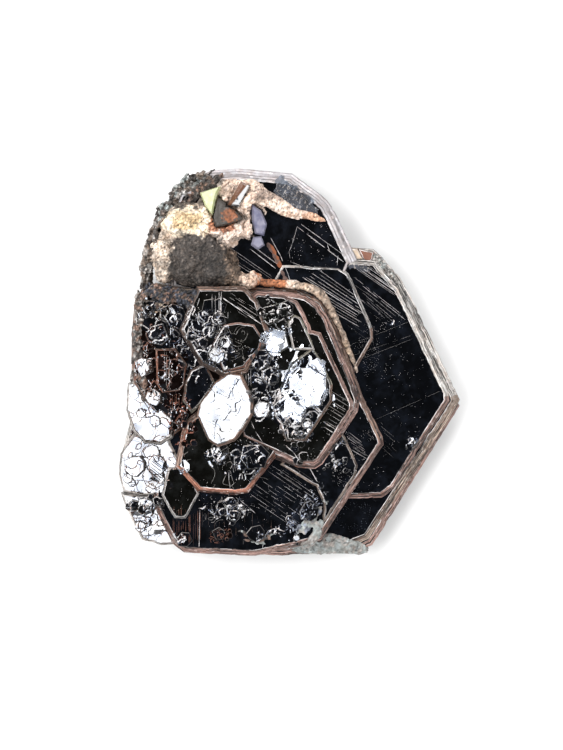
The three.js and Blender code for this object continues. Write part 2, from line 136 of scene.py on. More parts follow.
def counter_clockwise(outline: tuple[Point, ...]) -> list[Vector]:
    """Puts an outline's corners in order.

    Args:
        outline: the corners.

    Returns:
        The corners counter-clockwise, as flat vectors.
    """
    corners = [Vector(corner) for corner in outline]
    area = sum(a.x * b.y - b.x * a.y for a, b in pairs(corners))
    return corners if area > 0 else corners[::-1]


def leaning(lean: Point) -> Matrix:
    """Returns the turn that leans a plate about X and about Y, in degrees."""
    about_x, about_y = (math.radians(angle) for angle in lean)
    return Matrix.Rotation(about_y, 3, "Y") @ Matrix.Rotation(about_x, 3, "X")


def riding(mesh: Mesh) -> Piece:
    """Turns a mesh into a piece that rides on the specimen, and reports it.

    Args:
        mesh: the mesh, with the piece's name.

    Returns:
        The new piece.
    """
    piece = bpy.data.objects.new(mesh.name, mesh)
    bpy.context.scene.collection.objects.link(piece)
    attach(piece, ROOT)
    log.info("%s: %d facets", piece.name, len(mesh.polygons))
    return piece


@dataclass
class Skin:
    """The surface of one piece, gathered facet by facet before it becomes a Blender mesh."""

    points: list[Vector] = field(default_factory=list)  # its corners
    # its facets, as indices of points that run counter-clockwise from outside
    faces: list[tuple[int, ...]] = field(default_factory=list)
    finishes: list[Finish] = field(default_factory=list)  # how each facet is finished
    tints: list[Colour] = field(default_factory=list)  # each facet's own colour

    def add_point(self, point: Vector) -> int:
        """Adds a point and returns its index."""
        self.points.append(point)
        return len(self.points) - 1

    def add_ring(self, points: list[Vector]) -> list[int]:
        """Adds points and returns their indices."""
        return [self.add_point(point) for point in points]

    def add_face(
        self, corners: list | tuple, tint: Colour = DARK.value, finish: Finish = Finish.BAND
    ) -> None:
        """Adds a facet.

        Args:
            corners: indices of its corners, counter-clockwise from outside.
            tint: its own colour.
            finish: how it is finished.
        """
        self.faces.append(tuple(corners))
        self.finishes.append(finish)
        self.tints.append(tint)

    def bridge(self, upper: list[int], lower: list[int], tints: list[Colour]) -> None:
        """Skins between two rings of equal length, with one colour for each facet."""
        for (a, b), (c, d), tint in zip(pairs(lower), pairs(upper), tints):
            self.add_face((a, b, d, c), tint)

    def build(self, name: str) -> Piece:
        """Turns the skin into a piece of the hematite.

        Args:
            name: the piece's name.

        Returns:
            The new piece.
        """
        mesh = bpy.data.meshes.new(name)
        mesh.from_pydata([point * MM for point in self.points], [], self.faces)
        for finish in HEMATITE_FINISHES:
            mesh.materials.append(finish.made())
        mesh.polygons.foreach_set("material_index", [finish.value for finish in self.finishes])
        tint = mesh.attributes.new("tint", "FLOAT_COLOR", "FACE")
        tint.data.foreach_set("color", [value for colour in self.tints for value in (*colour, 1.0)])
        mesh.validate()
        mesh.update()
        return riding(mesh)


class Ground:
    """Surfaces that small growths are set on, looked up from straight above."""

    def __init__(self, *skins: Skin) -> None:
        """Joins the surfaces.

        Args:
            skins: the skins that carry the growths.
        """
        points: list[Vector] = []
        faces: list[tuple[int, ...]] = []
        for skin in skins:
            faces += [tuple(i + len(points) for i in face) for face in skin.faces]
            points += skin.points
        self.tree = BVHTree.FromPolygons(points, faces)
        self.sky = 40.0  # a height above everything

    def height(self, x: float, y: float) -> float | None:
        """Returns the surface's height at a place, or None beside the surface."""
        hit = self.tree.ray_cast(Vector((x, y, self.sky)), Vector((0.0, 0.0, -1.0)))[0]
        return None if hit is None else hit.z


@dataclass(frozen=True)
class Plate:
    """One plate of hematite."""

    name: str  # what the plate is called
    top: float  # height of its face
    thick: float  # thickness
    rim: float  # how far the sloping edge band reaches out, seen from above
    drop: float  # height of that band
    outline: tuple[Point, ...]  # corners of the flat face
    tilt: Point = (0, 0)  # lean about X and about Y, in degrees
    face: Tone = BLACK  # tint of the face
    # colours of the bands that look towards -Y and towards +Y
    edges: tuple[Tone, Tone] = (RUST, RUST)
    layers: int = 4  # growth layers that show on the band
    gleam: float = 1.0  # how bright the painted highlight on the arris round the face is
    finish: Finish = Finish.MIRROR  # how the face is finished
    streaks: float = 1.0  # how much the layers differ from one another
    left: float = 1.0  # painted shade: how light the bands that look towards -X are painted


PLATES = (
    Plate("sole", 1.6, 1.6, 0.7, 0.9, layers=2, edges=(DARK, DARK), outline=(
        (-8.5, 8.6), (5.2, 9.2), (12.2, -3.2), (5.6, -15.2), (-7.4, -15.8), (-13.6, -3.8))),
    Plate("sole_left", 2.4, 1.9, 0.6, 0.8, layers=2, edges=(DARK, DARK), outline=(
        (-14.4, 7.2), (-5.2, 7.9), (-3.4, -3.4), (-8.2, -14.9), (-14.8, -12.2), (-16.4, -3.4))),
    Plate("sole_right", 2.6, 1.7, 0.6, 0.8, layers=2, edges=(DARK, RUST), outline=(
        (4.3, 10.2), (9.5, 7.9), (15, -3.9), (8.3, -16.4), (1.6, -17), (-2.3, -4.2))),
    Plate("sole_top", 3.1, 1.9, 0.6, 0.8, layers=2, edges=(DARK, DARK), outline=(
        (-11.8, 12), (-3.9, 14.9), (4.6, 12.8), (6.3, 5.2), (-2.4, 3.1), (-12.7, 5.1))),
    Plate("under", 3.6, 1.7, 0.7, 0.8, layers=2, edges=(RUST, DARK), outline=(
        (-13, 12.5), (-2, 14.5), (7, 11.5), (17, -4.2), (8.4, -18.6), (-11, -19.5), (-17, -8), (-16.5, 5))),
    Plate("upper_back", 4.7, 1.7, 0.6, 0.8, layers=2, edges=(SILVER, LAVENDER), outline=(
        (-5.6, 20.6), (0, 19.6), (3.6, 17.1), (6, 11.5), (1.5, 6), (-9.3, 5.8), (-12.2, 9.6), (-12.6, 14.8),
        (-10.4, 18.8))),
    Plate("low_rim", 4.1, 1.2, 0.7, 0.7, layers=5, edges=(RUST, SILVER), outline=(
        (19.1, -3.9), (19.8, -5.2), (9.6, -21.5), (7.8, -22.1), (-1.5, -22.6), (-10.8, -22.1),
        (-14.9, -12.9), (-15.5, -4.5), (-10.7, 6.3), (3.6, 13), (9.6, 11.8), (12.6, 9))),
    Plate("rim", 4.7, 1.3, 0.9, 0.9, layers=6, face=NAVY, edges=(TAUPE, SILVER), outline=(
        (19.6, -4.5), (19.4, -5), (9.1, -20.7), (7.4, -21.4), (0.1, -21.7), (-10.1, -21.1), (-14.9, -12.9),
        (-15.5, -4.5), (-10.7, 6.3), (3.6, 12.6), (6.8, 13.1), (9.8, 12.8), (10.5, 12.2), (12.6, 9.8),
        (14.1, 7.2))),
    Plate("main", 5.8, 1.9, 0.6, 0.8, tilt=(0.4, 0.3), face=NAVY, edges=(RUST, SILVER), outline=(
        (18.6, -3.7), (18.7, -4.5), (12.2, -14.8), (11, -15.7), (7.3, -15.8), (-3.2, -15.5), (-7.7, -8.1),
        (-7.7, 1.5), (-3.2, 9.3), (7.6, 11.9), (10.1, 11.7), (12.8, 8.6))),
    Plate("upper", 6.1, 2, 1.3, 1, streaks=0.25, edges=(LAVENDER, LAVENDER), outline=(
        (-9, 21.9), (-6.4, 22.1), (-0.1, 21.5), (3.7, 18.7), (4.5, 17.3), (6.9, 12.1), (4.9, 7.5),
        (-7.1, 7.5), (-13.6, 9.4), (-14.3, 14.1), (-12.8, 20))),
    Plate("cream_chip", 4.95, 1.1, 0.12, 0.3, layers=2, finish=Finish.GRAIN, face=CREAM,
        edges=(CREAM, CREAM), outline=(
        (7, 13.7), (8.2, 13.6), (8.9, 12.5), (7.7, 12.4))),
    Plate("red_chip", 5, 1.2, 0.12, 0.3, layers=2, finish=Finish.GRAIN, face=BRICK,
        edges=(BRICK, TAUPE), outline=(
        (8.5, 13.6), (10.1, 13.2), (10, 12.5), (9.5, 12.1), (9.1, 12.3))),
    Plate("terrace", 6.5, 1.5, 0.35, 0.6, tilt=(-0.5, 0.4), face=NAVY, edges=(UMBER, SILVER), outline=(
        (-0.7, 11.5), (5.9, 11.2), (7, 10.5), (9.7, 4.1), (9.8, 2.9), (7.7, -0.8), (4.3, -5.7), (-1.1, -3.9),
        (-3.2, 6.3))),
    Plate("broad", 7.6, 2.6, 0.65, 1, face=NAVY, edges=(RUST, UMBER), outline=(
        (1.3, 8.1), (3.7, 7.1), (5.3, 3.9), (8.2, -4.1), (10.6, -9.1), (10.7, -9.7), (4.4, -19.3),
        (3.5, -20.8), (0.8, -21.5), (-4.1, -22.6), (-12.4, -22.2), (-13.5, -21.4), (-15.8, -16.7),
        (-15.5, -10.5), (-12.5, -2.1), (-10.1, 6.3), (-5.9, 8.5))),
    Plate("spur", 8.05, 1, 0.25, 0.4, gleam=0.6, face=NAVY, edges=(TAUPE, TAUPE), outline=(
        (6.1, -8.1), (8, -12.4), (7.8, -13.4), (4.3, -18.8), (4.4, -16.9), (3.4, -14.7), (-0.7, -12.2),
        (1.3, -9.9))),
    Plate("heart", 8.9, 2, 0.6, 0.9, tilt=(0.4, -0.3), face=OLIVE, outline=(
        (-0.1, 7.9), (1.8, 7.5), (3.2, 6.5), (4.1, 5.1), (7.3, -2.7), (7.9, -4.5), (7.7, -5.7), (3.6, -11.8),
        (3, -12.2), (1.2, -12.1), (-5.9, -9.3), (-8, -2.1), (-6.8, 6.1), (-3.7, 8.1))),
    Plate("collar", 9.6, 1.4, 0.45, 0.65, face=OLIVE, outline=(
        (-3.7, 8), (-0.6, 7.7), (0.7, 7), (1.8, 5.1), (2.4, 3.5), (3.5, 3.2), (5.4, -0.9), (7.3, -4.9),
        (7.2, -5.6), (3.4, -11.5), (2.9, -11.8), (1.3, -11.7), (-5.3, -8.7), (-6.8, -2.1), (-6.1, 5.7))),
    Plate("crown", 10.1, 1.2, 0.3, 0.5, tilt=(-0.8, 0.5), face=NAVY, edges=(UMBER, OLIVE), outline=(
        (4.9, -2.7), (4.9, -4.5), (1.9, -9.1), (-0.1, -9.1), (-0.7, -7.9), (-1.1, -3.9), (0.4, -0.3),
        (2.8, 1.5), (4, -0.4))),
    Plate("slab", 10.3, 1.3, 0.2, 0.4, face=OLIVE, edges=(SILVER, OLIVE), outline=(
        (0, 4.9), (0.7, 5.5), (1.3, 5.2), (2.5, 2.5), (2.8, 1.7), (0.6, 1.7))),
    Plate("garnet_side", 9.3, 2.4, 0.6, 0.9, tilt=(0.6, 0.4), face=OLIVE, edges=(BRICK, UMBER), outline=(
        (-13, -12.3), (-10.6, -14.9), (-6.5, -15.3), (-5.2, -15.1), (-2, -10.9), (-1, -9.1), (-2, -4.5),
        (-7.7, -3.9), (-12.1, -7.5))),
    Plate("heel", 8.5, 1.5, 0.22, 0.5, face=OLIVE, edges=(SILVER, SILVER), outline=(
        (-15.1, -15.9), (-13.6, -18.5), (-12.5, -18.5), (-11, -15.7), (-12.4, -12.7), (-14.3, -12.7))),
    Plate("left_low", 5.9, 2.8, 0.4, 1, edges=(DARK, SILVER), outline=(
        (-15.9, 9.2), (-9.6, 8.9), (-7.1, 3.9), (-8.3, -4.5), (-14.3, -7.9), (-17.4, -5.6), (-18.1, -1.4),
        (-17.6, 4.2))),
    Plate("left_bed", 8.3, 2.7, 0.4, 1, gleam=0.5, face=GARNET, edges=(UMBER, TAUPE), outline=(
        (-16.3, 9.1), (-10.7, 8.4), (-7.1, 3.9), (-8.3, -4.5), (-13.7, -8.3), (-16.7, -5.1), (-18.5, -2.1),
        (-18.5, 3.3), (-18.2, 6.5), (-17.7, 7.7))),
    Plate("left_top", 10.7, 2.6, 0.5, 0.8, left=0.3, face=OLIVE, edges=(UMBER, UMBER), outline=(
        (-10.7, 8.6), (-5.5, 8.6), (-4.1, 7.1), (-2.8, 3.5), (-3.4, 2.1), (-5.4, -0.8), (-7.7, -1.3),
        (-10.3, 0.1), (-12.6, 3.9))),
    Plate("left_cap", 11.2, 1, 0.2, 0.3, tilt=(-1, 0.8), gleam=0.7, left=0.35, face=OLIVE,
        edges=(BRICK, RUST), outline=(
        (-7.7, 4.3), (-5.9, 4.7), (-4.3, 4.3), (-3.4, 2.9), (-3.7, 1.7), (-5.5, -0.4), (-7.7, -0.9),
        (-9, 2.1))),
    # painted reflection: this plate leans towards the left light and its face gets the bright steel tint
    Plate("mirror", 10.4, 2, 0.25, 0.5, tilt=(-2, -9), face=STEEL, edges=(UMBER, UMBER), outline=(
        (-7.3, -1.4), (-5.9, -1.6), (-5.2, -3.1), (-4.6, -4.7), (-4.6, -6.1), (-5.8, -8.1), (-6.7, -9.2),
        (-8.5, -9.8), (-9.6, -9.1), (-10.3, -7.6), (-10.9, -6.4), (-10.7, -5.1), (-9.1, -2.8))),
    Plate("dark_window", 9.6, 1.8, 0.15, 0.5, tilt=(1.2, 0.6), gleam=0.4, face=GARNET,
        edges=(BRICK, UMBER), outline=(
        (-15.8, 1.5), (-15.7, -2.5), (-15.1, -3.5), (-13.3, -3.3), (-12.7, -2.7), (-12.4, -0.3),
        (-13.7, 1.5))),
    Plate("navy_window", 9.9, 2, 0.25, 0.5, tilt=(0.6, 1.4), gleam=0.5, left=0.4, face=NAVY,
        edges=(OLIVE, UMBER), outline=(
        (-11.6, -1.1), (-10.1, -0.3), (-9.1, -2.5), (-10.7, -4.9), (-11.6, -5.7), (-12.5, -4.5),
        (-12.2, -2.4))),
    Plate("left_foot", 5.4, 3.6, 0.5, 1, tilt=(0, -3), edges=(SILVER, SILVER), outline=(
        (-17.6, -3.5), (-12, -4.5), (-10.5, -16.5), (-14.8, -20.3), (-18.4, -16.5), (-19.6, -10.5))),
    # painted reflection: the petals lean towards the left light and their faces get the bright steel tint
    Plate("petal_high", 8.1, 3.2, 0.35, 0.7, tilt=(-3, -10), face=STEEL, edges=(SILVER, SILVER), outline=(
        (-19.2, -2.6), (-17.8, -2.1), (-16.6, -4.3), (-15.3, -5.7), (-14, -6.9), (-14.3, -8.8),
        (-15.5, -9.5), (-17.3, -9.3), (-18.5, -8.1), (-19.4, -5.7))),
    Plate("petal_wide", 7.5, 3, 0.35, 0.7, tilt=(2, -10), face=STEEL, edges=(SILVER, SILVER), outline=(
        (-18.7, -8.9), (-16.7, -8.8), (-14.5, -9.3), (-14, -10.7), (-13.1, -12.3), (-14.3, -14.6),
        (-15.2, -15.7), (-17.9, -15.7), (-19.8, -15.3), (-20.3, -13.5), (-20.1, -11.1))),
    Plate("petal_low", 6.5, 2.8, 0.35, 0.7, tilt=(6, -8), face=STEEL, edges=(SILVER, SILVER), outline=(
        (-19.9, -16), (-16.7, -16.3), (-15.7, -17.5), (-14.1, -21.6), (-15.5, -21.7), (-17.6, -21.1),
        (-18.4, -19.5), (-19.3, -17.6))),
)


@dataclass
class PlateMaker:
    """Builds one plate with a ragged, layered edge."""

    plate: Plate
    skin: Skin
    step: float = 0.34  # spacing of points along the edge
    ragged: float = 0.06  # how far the edge wanders from a straight line
    lip: float = 0.07  # usual width of the arris round the face, which carries a painted highlight
    undercut: float = 0.45  # share of the rim that the foot draws back
    lamina: float = 0.30  # height of a layer in the wall below the band
    proud: float = 0.035  # how far such a layer stands out
    flecked: float = 0.30  # noise above this is a pale fleck, and below its negative a rusty one
    wall_flecks: float = 0.25  # how strong flecks are on the wall below the band
    leftward: float = -0.3  # bands whose direction is less than this along X look towards -X
    upward: float = 0.12  # bands whose direction is more than this along Y look towards +Y
    notched: float = 0.32  # noise above this is a notch in the edge
    mitre: float = 1.6  # how far at most a corner reaches out, as a share of the sides' reach
    rusting: tuple[Tone, ...] = (RUST, UMBER, TAUPE)  # bands that carry rusty flecks

    def __post_init__(self) -> None:
        """Walks round the outline: points along the edge, each with its way out."""
        xs, ys = zip(*self.plate.outline)
        self.middle = Vector(((min(xs) + max(xs)) / 2, (min(ys) + max(ys)) / 2))
        self.turn = leaning(self.plate.tilt)
        self.walk: list[tuple[Vector, Vector]] = []
        corners = counter_clockwise(self.plate.outline)
        for i, corner in enumerate(corners):
            before = (corner - corners[i - 1]).normalized()
            after = corners[(i + 1) % len(corners)] - corner
            outward = Vector((before.y, -before.x))
            side_out = Vector((after.y, -after.x)).normalized()
            halfway = (outward + side_out).normalized()
            reach = min(self.mitre, 1 / max(0.2, halfway.dot(outward)))
            self.walk.append((corner, halfway * reach))
            count = max(1, round(after.length / self.step))
            self.walk += [(corner + after * (k / count), side_out) for k in range(1, count)]

    def ring(self, reach: float, depth: float, share: float = 1.0) -> list[int]:
        """Adds a ring of points round the plate.

        Args:
            reach: how far out from the face's outline.
            depth: how far below the face.
            share: how much of the edge's raggedness it has.

        Returns:
            Their indices.
        """
        top = self.plate.top
        points = []
        for point, out in self.walk:
            notch = wave(*point, 1.1, top * 7) > self.notched
            wander = 0.9 * wave(*point, 0.5, top * 3) + 0.8 * wave(*point, 2.3, top + depth * 5)
            stray = self.ragged * (wander - 1.1 * notch)
            flat = point + out * (reach + share * stray) - self.middle
            points.append(self.turn @ Vector((*flat, -depth)) + Vector((*self.middle, top)))
        return self.skin.add_ring(points)

    def make(self) -> None:
        """Adds the plate to the skin: its face, the arris, the layered band and the wall below."""
        plate = self.plate
        log.debug("%s: %d points round its edge", plate.name, len(self.walk))
        face = self.ring(-self.lip, 0.0)
        self.skin.add_face(face, plate.face.value, plate.finish)
        upper = self.ring(0.0, self.lip * 0.6)
        self.skin.bridge(face, upper, self.lip_tints())
        drop = min(plate.drop, plate.thick * 0.6)
        for layer in range(plate.layers):
            share = (layer + 1) / plate.layers
            inset = 0.35 / plate.layers
            tread = self.ring(plate.rim * (share - inset), drop * (share - 2 * inset) + 0.03)
            riser = self.ring(plate.rim * share, drop * share)
            # Painted light and shade: each layer's sloping tread is painted lighter (1.15) and its riser darker
            # (0.75).
            self.skin.bridge(upper, tread, self.band_tints(layer, 1.15))
            self.skin.bridge(tread, riser, self.band_tints(layer + 9, 0.75))
            upper = riser
        count = max(1, round((plate.thick - drop) / self.lamina))
        for layer in range(count):
            # Painted shade: the part of each wall layer that stands out is painted at 0.8, the recess under it at
            # 0.3.
            for share, proud, light in ((layer + 0.55, self.proud, 0.8), (layer + 1.0, -self.proud, 0.3)):
                share /= count
                reach = plate.rim * (1 - self.undercut * share) + proud * (layer + 1 < count)
                lower = self.ring(reach, drop + (plate.thick - drop) * share, 0.7)
                tints = self.band_tints(plate.layers + 20 + layer, light, self.wall_flecks)
                self.skin.bridge(upper, lower, tints)
                upper = lower
        self.skin.add_face(upper[::-1])

    def side_light(self, out: Vector) -> float:
        """Returns how light a band that looks that way is painted: painted shade darkens the bands that look
        towards -X.
        """
        return self.plate.left if out.x < self.leftward else 1.0

    def lip_tints(self) -> list[Colour]:
        """Paints a highlight on the arris round the face, bright in some places and dull in others.

        Returns:
            One colour for each facet round the plate.
        """
        tints = []
        for point, out in self.walk:
            gleam = 1.3 * wave(*point, 0.55, self.plate.top * 5)
            # Painted highlight on the arris, with painted shade where it looks towards -X.
            light = self.plate.gleam * max(0.08, 0.55 + gleam + 0.6 * wave(*point, 2.5, self.plate.top))
            tints.append(shaded(FROST.value, light * self.side_light(out)))
        return tints

    def band_tints(self, layer: int, factor: float, flecks: float = 1.0) -> list[Colour]:
        """Colours one layer of the edge band.

        Args:
            layer: which layer.
            factor: how light the layer is painted, as painted light or painted shade for its part of the band.
            flecks: how strong its flecks are.

        Returns:
            One colour for each facet round the plate.
        """
        tints = []
        for point, out in self.walk:
            tone = self.plate.edges[out.y > self.upward]
            # Painted light and shade: the factor and the side that the band looks to set how light it is painted.
            light = factor * self.side_light(out)
            streak = wave(*point, 0.3, self.plate.top * 2 + layer * 3.7)
            fleck = flecks * wave(*point, 2.2, self.plate.top + layer * 1.9)
            strength = self.plate.streaks * (2.9 * streak + 1.1 * fleck)
            pale, rusty = (min(0.7, 2.2 * max(0.0, value - self.flecked)) for value in (fleck, -fleck))
            colour = shaded(tone.value, light * max(0.12, 1.0 + strength))
            rusts = tone in self.rusting
            colour = blended(colour, shaded(BRICK.value, light), rusty * rusts)
            tints.append(blended(colour, shaded(FROST.value, light), pale * (0.35 if rusts else 0.8)))
        return tints


@dataclass(frozen=True)
class Spot:
    """An oval place."""

    middle: Point  # its middle
    reach: Point  # half its width along X and along Y

    def draw(self, stray: random.Random) -> Point:
        """Picks a place in the oval.

        Args:
            stray: source of the random draws.

        Returns:
            The place.
        """
        angle = stray.uniform(0, math.tau)
        share = math.sqrt(stray.random())
        way = (math.cos(angle), math.sin(angle))
        axes = zip(self.middle, way, self.reach)
        return tuple(middle + part * share * reach for middle, part, reach in axes)


@dataclass(frozen=True)
class Patch(Spot):
    """A patch of small plates that grew late on the big ones."""

    count: int  # how many small plates
    size: Point  # smallest and largest radius
    lean: Point = (0, 0)  # how far they lean about X and about Y, in degrees
    spread: float = 3  # how much that varies, in degrees
    sides: tuple[int, int] = (5, 7)  # fewest and most corners; many corners look round
    faces: tuple[Tone, ...] = (BLACK, NAVY)  # tints of the faces, picked at random
    edge: Tone = FROST  # colour of their edges


@dataclass(frozen=True)
class Lines:
    """A set of parallel growth lines, from a first line to a last one."""

    first: tuple[Point, Point]  # both ends of the first line
    last: tuple[Point, Point]  # both ends of the last line
    count: int  # how many
    width: float = 0.11  # width of a line at its foot
    gaps: float = 0.08  # share of each line that is missing
    trim: float = 0.25  # how much a line may fall short, as a share
    tone: Tone = FROST  # its colour; the default pale white is a painted highlight on the line


@dataclass(frozen=True)
class Crease:
    """One growth line along listed points."""

    path: tuple[Point, ...]  # the points
    width: float = 0.16  # its width at the foot
    tone: Tone = FROST  # its colour; the default pale white is a painted highlight on the line
    climb: float = 0.2  # the highest step of the ground that it crosses


@dataclass(frozen=True)
class Specks(Spot):
    """A scatter of tiny raised specks."""

    count: int  # how many
    size: Point  # smallest and largest radius
    tone: Tone = FROST  # their colour


@dataclass(frozen=True)
class Ripples(Spot):
    """Meandering edges of thin growth layers, laid along the level lines of a random field."""

    size: float  # usual distance across a hillock
    levels: int  # how many level lines one hillock has
    width: float  # usual width of an edge
    tone: Tone  # its colour
    cover: float = 0.6  # share of the edges that shows


@dataclass(frozen=True)
class Veil(Spot):
    """A thin crinkled growth that is broken into small facets and drapes over what is below it."""

    turn: float = 0  # how far the oval is turned, in degrees
    lean: float = 0  # how far its facets lean towards -X, in degrees
    spread: float = 3  # how much that varies from facet to facet
    facet: float = 2  # size of a facet
    step: float = 0.08  # height of a step from one facet or layer to the next
    swell: float = 2.2  # size of the hillocks that its growth layers make
    layers: float = 2.2  # how many layers a hillock has
    face: Tone = BLACK  # tint of the facets
    edge: Tone = FROST  # tint of the steps
    holes: float = 0.3  # share of it that is open
    drape: float = 0.13  # the highest step of the ground that it bridges
    finish: Finish = Finish.MIRROR  # how its facets are finished


@dataclass(frozen=True)
class CrustRun:
    """A rough crust along a broken rim."""

    path: tuple[Point, ...]  # the line that it follows
    width: float  # how far its scales stray from that line
    low: float  # lowest scale
    high: float  # highest scale, where no plate is below it
    count: int  # how many scales
    size: Point = (0.26, 0.55)  # smallest and largest radius of a scale
    shape: Triple = (1.7, 0.55, 1)  # length along the rim, width and height of a scale, in radii
    tones: tuple[Tone, ...] = (SILVER, DARK, TAUPE)  # its colours


# Larger late plates: (x, y, height of the face, radius, corners, lean about X, lean about Y).
ROSETTES = (
    (2.2, -3.2, 10.6, 2.5, 9, -4, -8), (0.1, -5.6, 10.7, 1.9, 10, 3, -3), (-3.2, -5.6, 10.1, 1, 8, 2, -9),
    (-8.3, -10.7, 9.8, 1.1, 8, 0, -5), (-8.6, 0.9, 11.3, 0.9, 7, -5, -8), (-7.6, 2.4, 11.5, 0.7, 7, 4, -6),
    (-1.5, 2.5, 10.2, 1.4, 6, -6, -8), (-2.2, 5.8, 10.1, 1.2, 6, 0, 0), (-0.4, 6.4, 10, 0.9, 6, 3, 2),
    (-3.4, 0.2, 10.3, 1.3, 7, 2, 3), (-2.2, -1.6, 10.4, 1.1, 7, -3, 4), (0.4, -8.3, 10.5, 1, 6, 0, 2),
    (-4.2, -11.3, 9.8, 1.6, 6, 2, -2), (-13.4, 5.4, 9.3, 1.4, 6, 3, 2), (-15.9, 3.3, 9.6, 1.3, 6, -2, -3),
    (-10.8, 3.2, 10.2, 1.3, 7, 4, -3), (-14.6, 5.9, 9.2, 1, 6, -4, 2), (-13.2, -6.4, 9.1, 1, 8, -3, 3),
    (-17.6, -0.6, 8.8, 1.2, 6, 2, -6), (-16.2, -4.2, 8.7, 1, 7, 0, -7), (-15.2, -7.5, 8.5, 0.8, 8, 2, -9),
    (-18.6, -12.4, 7.9, 1.2, 8, 4, -12), (-16.2, -13.8, 7.8, 1.5, 7, 0, -6),
    (-17.3, -17.3, 7, 0.9, 7, 2, -9), (-7.6, -17.5, 8, 1, 8, 1, 2), (-4, -20.6, 8.1, 1, 7, -2, 1),
    (-8.4, -20.6, 7.9, 0.8, 5, 1, 0), (-12.6, -21.2, 8, 0.9, 6, -3, 2), (2.4, -17.9, 8.2, 1.2, 7, 3, 4),
)

PATCHES = (
    # crest of the crown and the ledges round it
    Patch((-1.7, 6.3), (2.6, 1.9), 5, (0.2, 0.7), faces=(OLIVE, BLACK)),
    Patch((-2.5, -1.5), (2.4, 2.9), 5, (0.2, 0.6), lean=(0, -1), spread=7),
    Patch((0.1, -7.7), (2.4, 1.2), 7, (0.2, 0.6), lean=(0, -3), spread=7, sides=(6, 9)),
    Patch((0.7, -11.1), (1.5, 1.5), 8, (0.3, 0.6), faces=(OLIVE, BLACK)),
    Patch((6.1, -12.9), (2.4, 1.7), 7, (0.12, 0.34), spread=6),
    # rusty beds on the left
    Patch((-14.9, 2.7), (3.3, 6), 14, (0.5, 1.3), faces=(GARNET, OLIVE, BLACK), edge=UMBER),
    Patch((-11.6, 4.4), (4.4, 3.8), 9, (0.5, 1.3), faces=(OLIVE, BLACK, NAVY), edge=SILVER),
    Patch((-12.6, -8), (1.6, 3), 10, (0.2, 0.6), spread=4, faces=(GARNET, BLACK), edge=BRICK),
    Patch((-8, -20.7), (1.3, 0.9), 5, (0.15, 0.45), spread=4, faces=(GARNET, BLACK), edge=BRICK),
    Patch((0.9, -20.1), (1.5, 2.1), 8, (0.12, 0.4), spread=8, faces=(BLACK, OLIVE)),
    Patch((-7.1, -17.9), (1.9, 1.5), 8, (0.3, 0.7)),
    # leaning petals
    Patch((-17.9, -12.3), (2.3, 3), 6, (0.4, 1.3), lean=(2, -10), sides=(7, 11), edge=DARK),
    Patch((-16.6, -6.3), (2, 3), 5, (0.4, 1.1), lean=(-3, -10), sides=(7, 11), edge=DARK),
    Patch((-17.3, -19.2), (1.9, 1.6), 3, (0.4, 0.9), lean=(5, -9), sides=(6, 9), edge=DARK),
    Patch((-17.4, -16.9), (2.2, 0.9), 8, (0.2, 0.6), spread=6),
)

CROWN_VEILS = (
    # the heart of the crown and the jumble round it; the bright ones carry the steel tint as a painted reflection
    Veil((1.9, -2.9), (3.5, 4.3), lean=13, facet=2.8, step=0.05, swell=3, layers=1, face=STEEL, holes=-0.3,
        drape=0.8),
    Veil((1.2, -6.2), (3.2, 2.4), lean=3, spread=5, facet=1.3, swell=1.8, holes=-0.1),
    Veil((-2.9, -2.6), (2.2, 4.4), spread=3.5, facet=1.5, swell=1.3, holes=-0.2, drape=0.7),
    Veil((-1.3, 2.5), (2.1, 1.8), lean=13, facet=2.4, step=0.05, layers=1, face=STEEL, holes=0, drape=0.8),
    Veil((-1.8, -5.7), (1, 1.2), lean=9, spread=4, facet=0.8, face=STEEL, edge=SILVER, holes=0.1),
    Veil((-1.3, 5.6), (2, 2.1), face=OLIVE, holes=-0.1),
    Veil((1.6, -8.4), (1.8, 1.2), lean=1, spread=5, swell=1.6, face=NAVY, holes=0.35),
    # the lower beds
    Veil((-9, -11.2), (1.1, 1.3), lean=4, spread=7, facet=0.7, swell=1.2, holes=0.2),
    Veil((-5, -11.8), (2.6, 2.4), spread=4, facet=1.8, face=NAVY, holes=0),
    Veil((-7.8, -17.3), (2.9, 1.6), spread=2, face=NAVY, holes=0.1),
    Veil((-13.4, -21.2), (1.4, 0.8), lean=5, spread=7, facet=0.9),
    Veil((1.8, -18), (4.2, 1.2), 52, spread=4, facet=1, swell=1.2, edge=SLATE, holes=0.25),
    Veil((-2.9, -20.6), (3, 0.7), 20, lean=2, spread=6, facet=0.8, swell=1.4, holes=0.4),
    Veil((6.2, -11.2), (1.4, 2.4), lean=1, spread=6, facet=0.8, swell=1.4, holes=0.5),
    Veil((14.8, -9.8), (0.9, 0.9), lean=6, spread=7, facet=0.6, swell=1, holes=0.1),
    Veil((11.4, 4.5), (1.5, 0.5), 20, lean=3, spread=7, facet=0.5, holes=0.5),
    # dull frost near the top edge
    Veil((0.9, 19.7), (3.4, 1.3), -38, facet=0.7, step=0.035, swell=0.7, layers=1.2, face=DUSK, edge=SLATE,
        holes=-0.2, finish=Finish.GRAIN),
    Veil((8.4, 11.4), (1.5, 0.5), -10, spread=6, facet=0.5, step=0.04, face=DUSK, edge=SILVER, holes=0.35,
        finish=Finish.GRAIN),
)

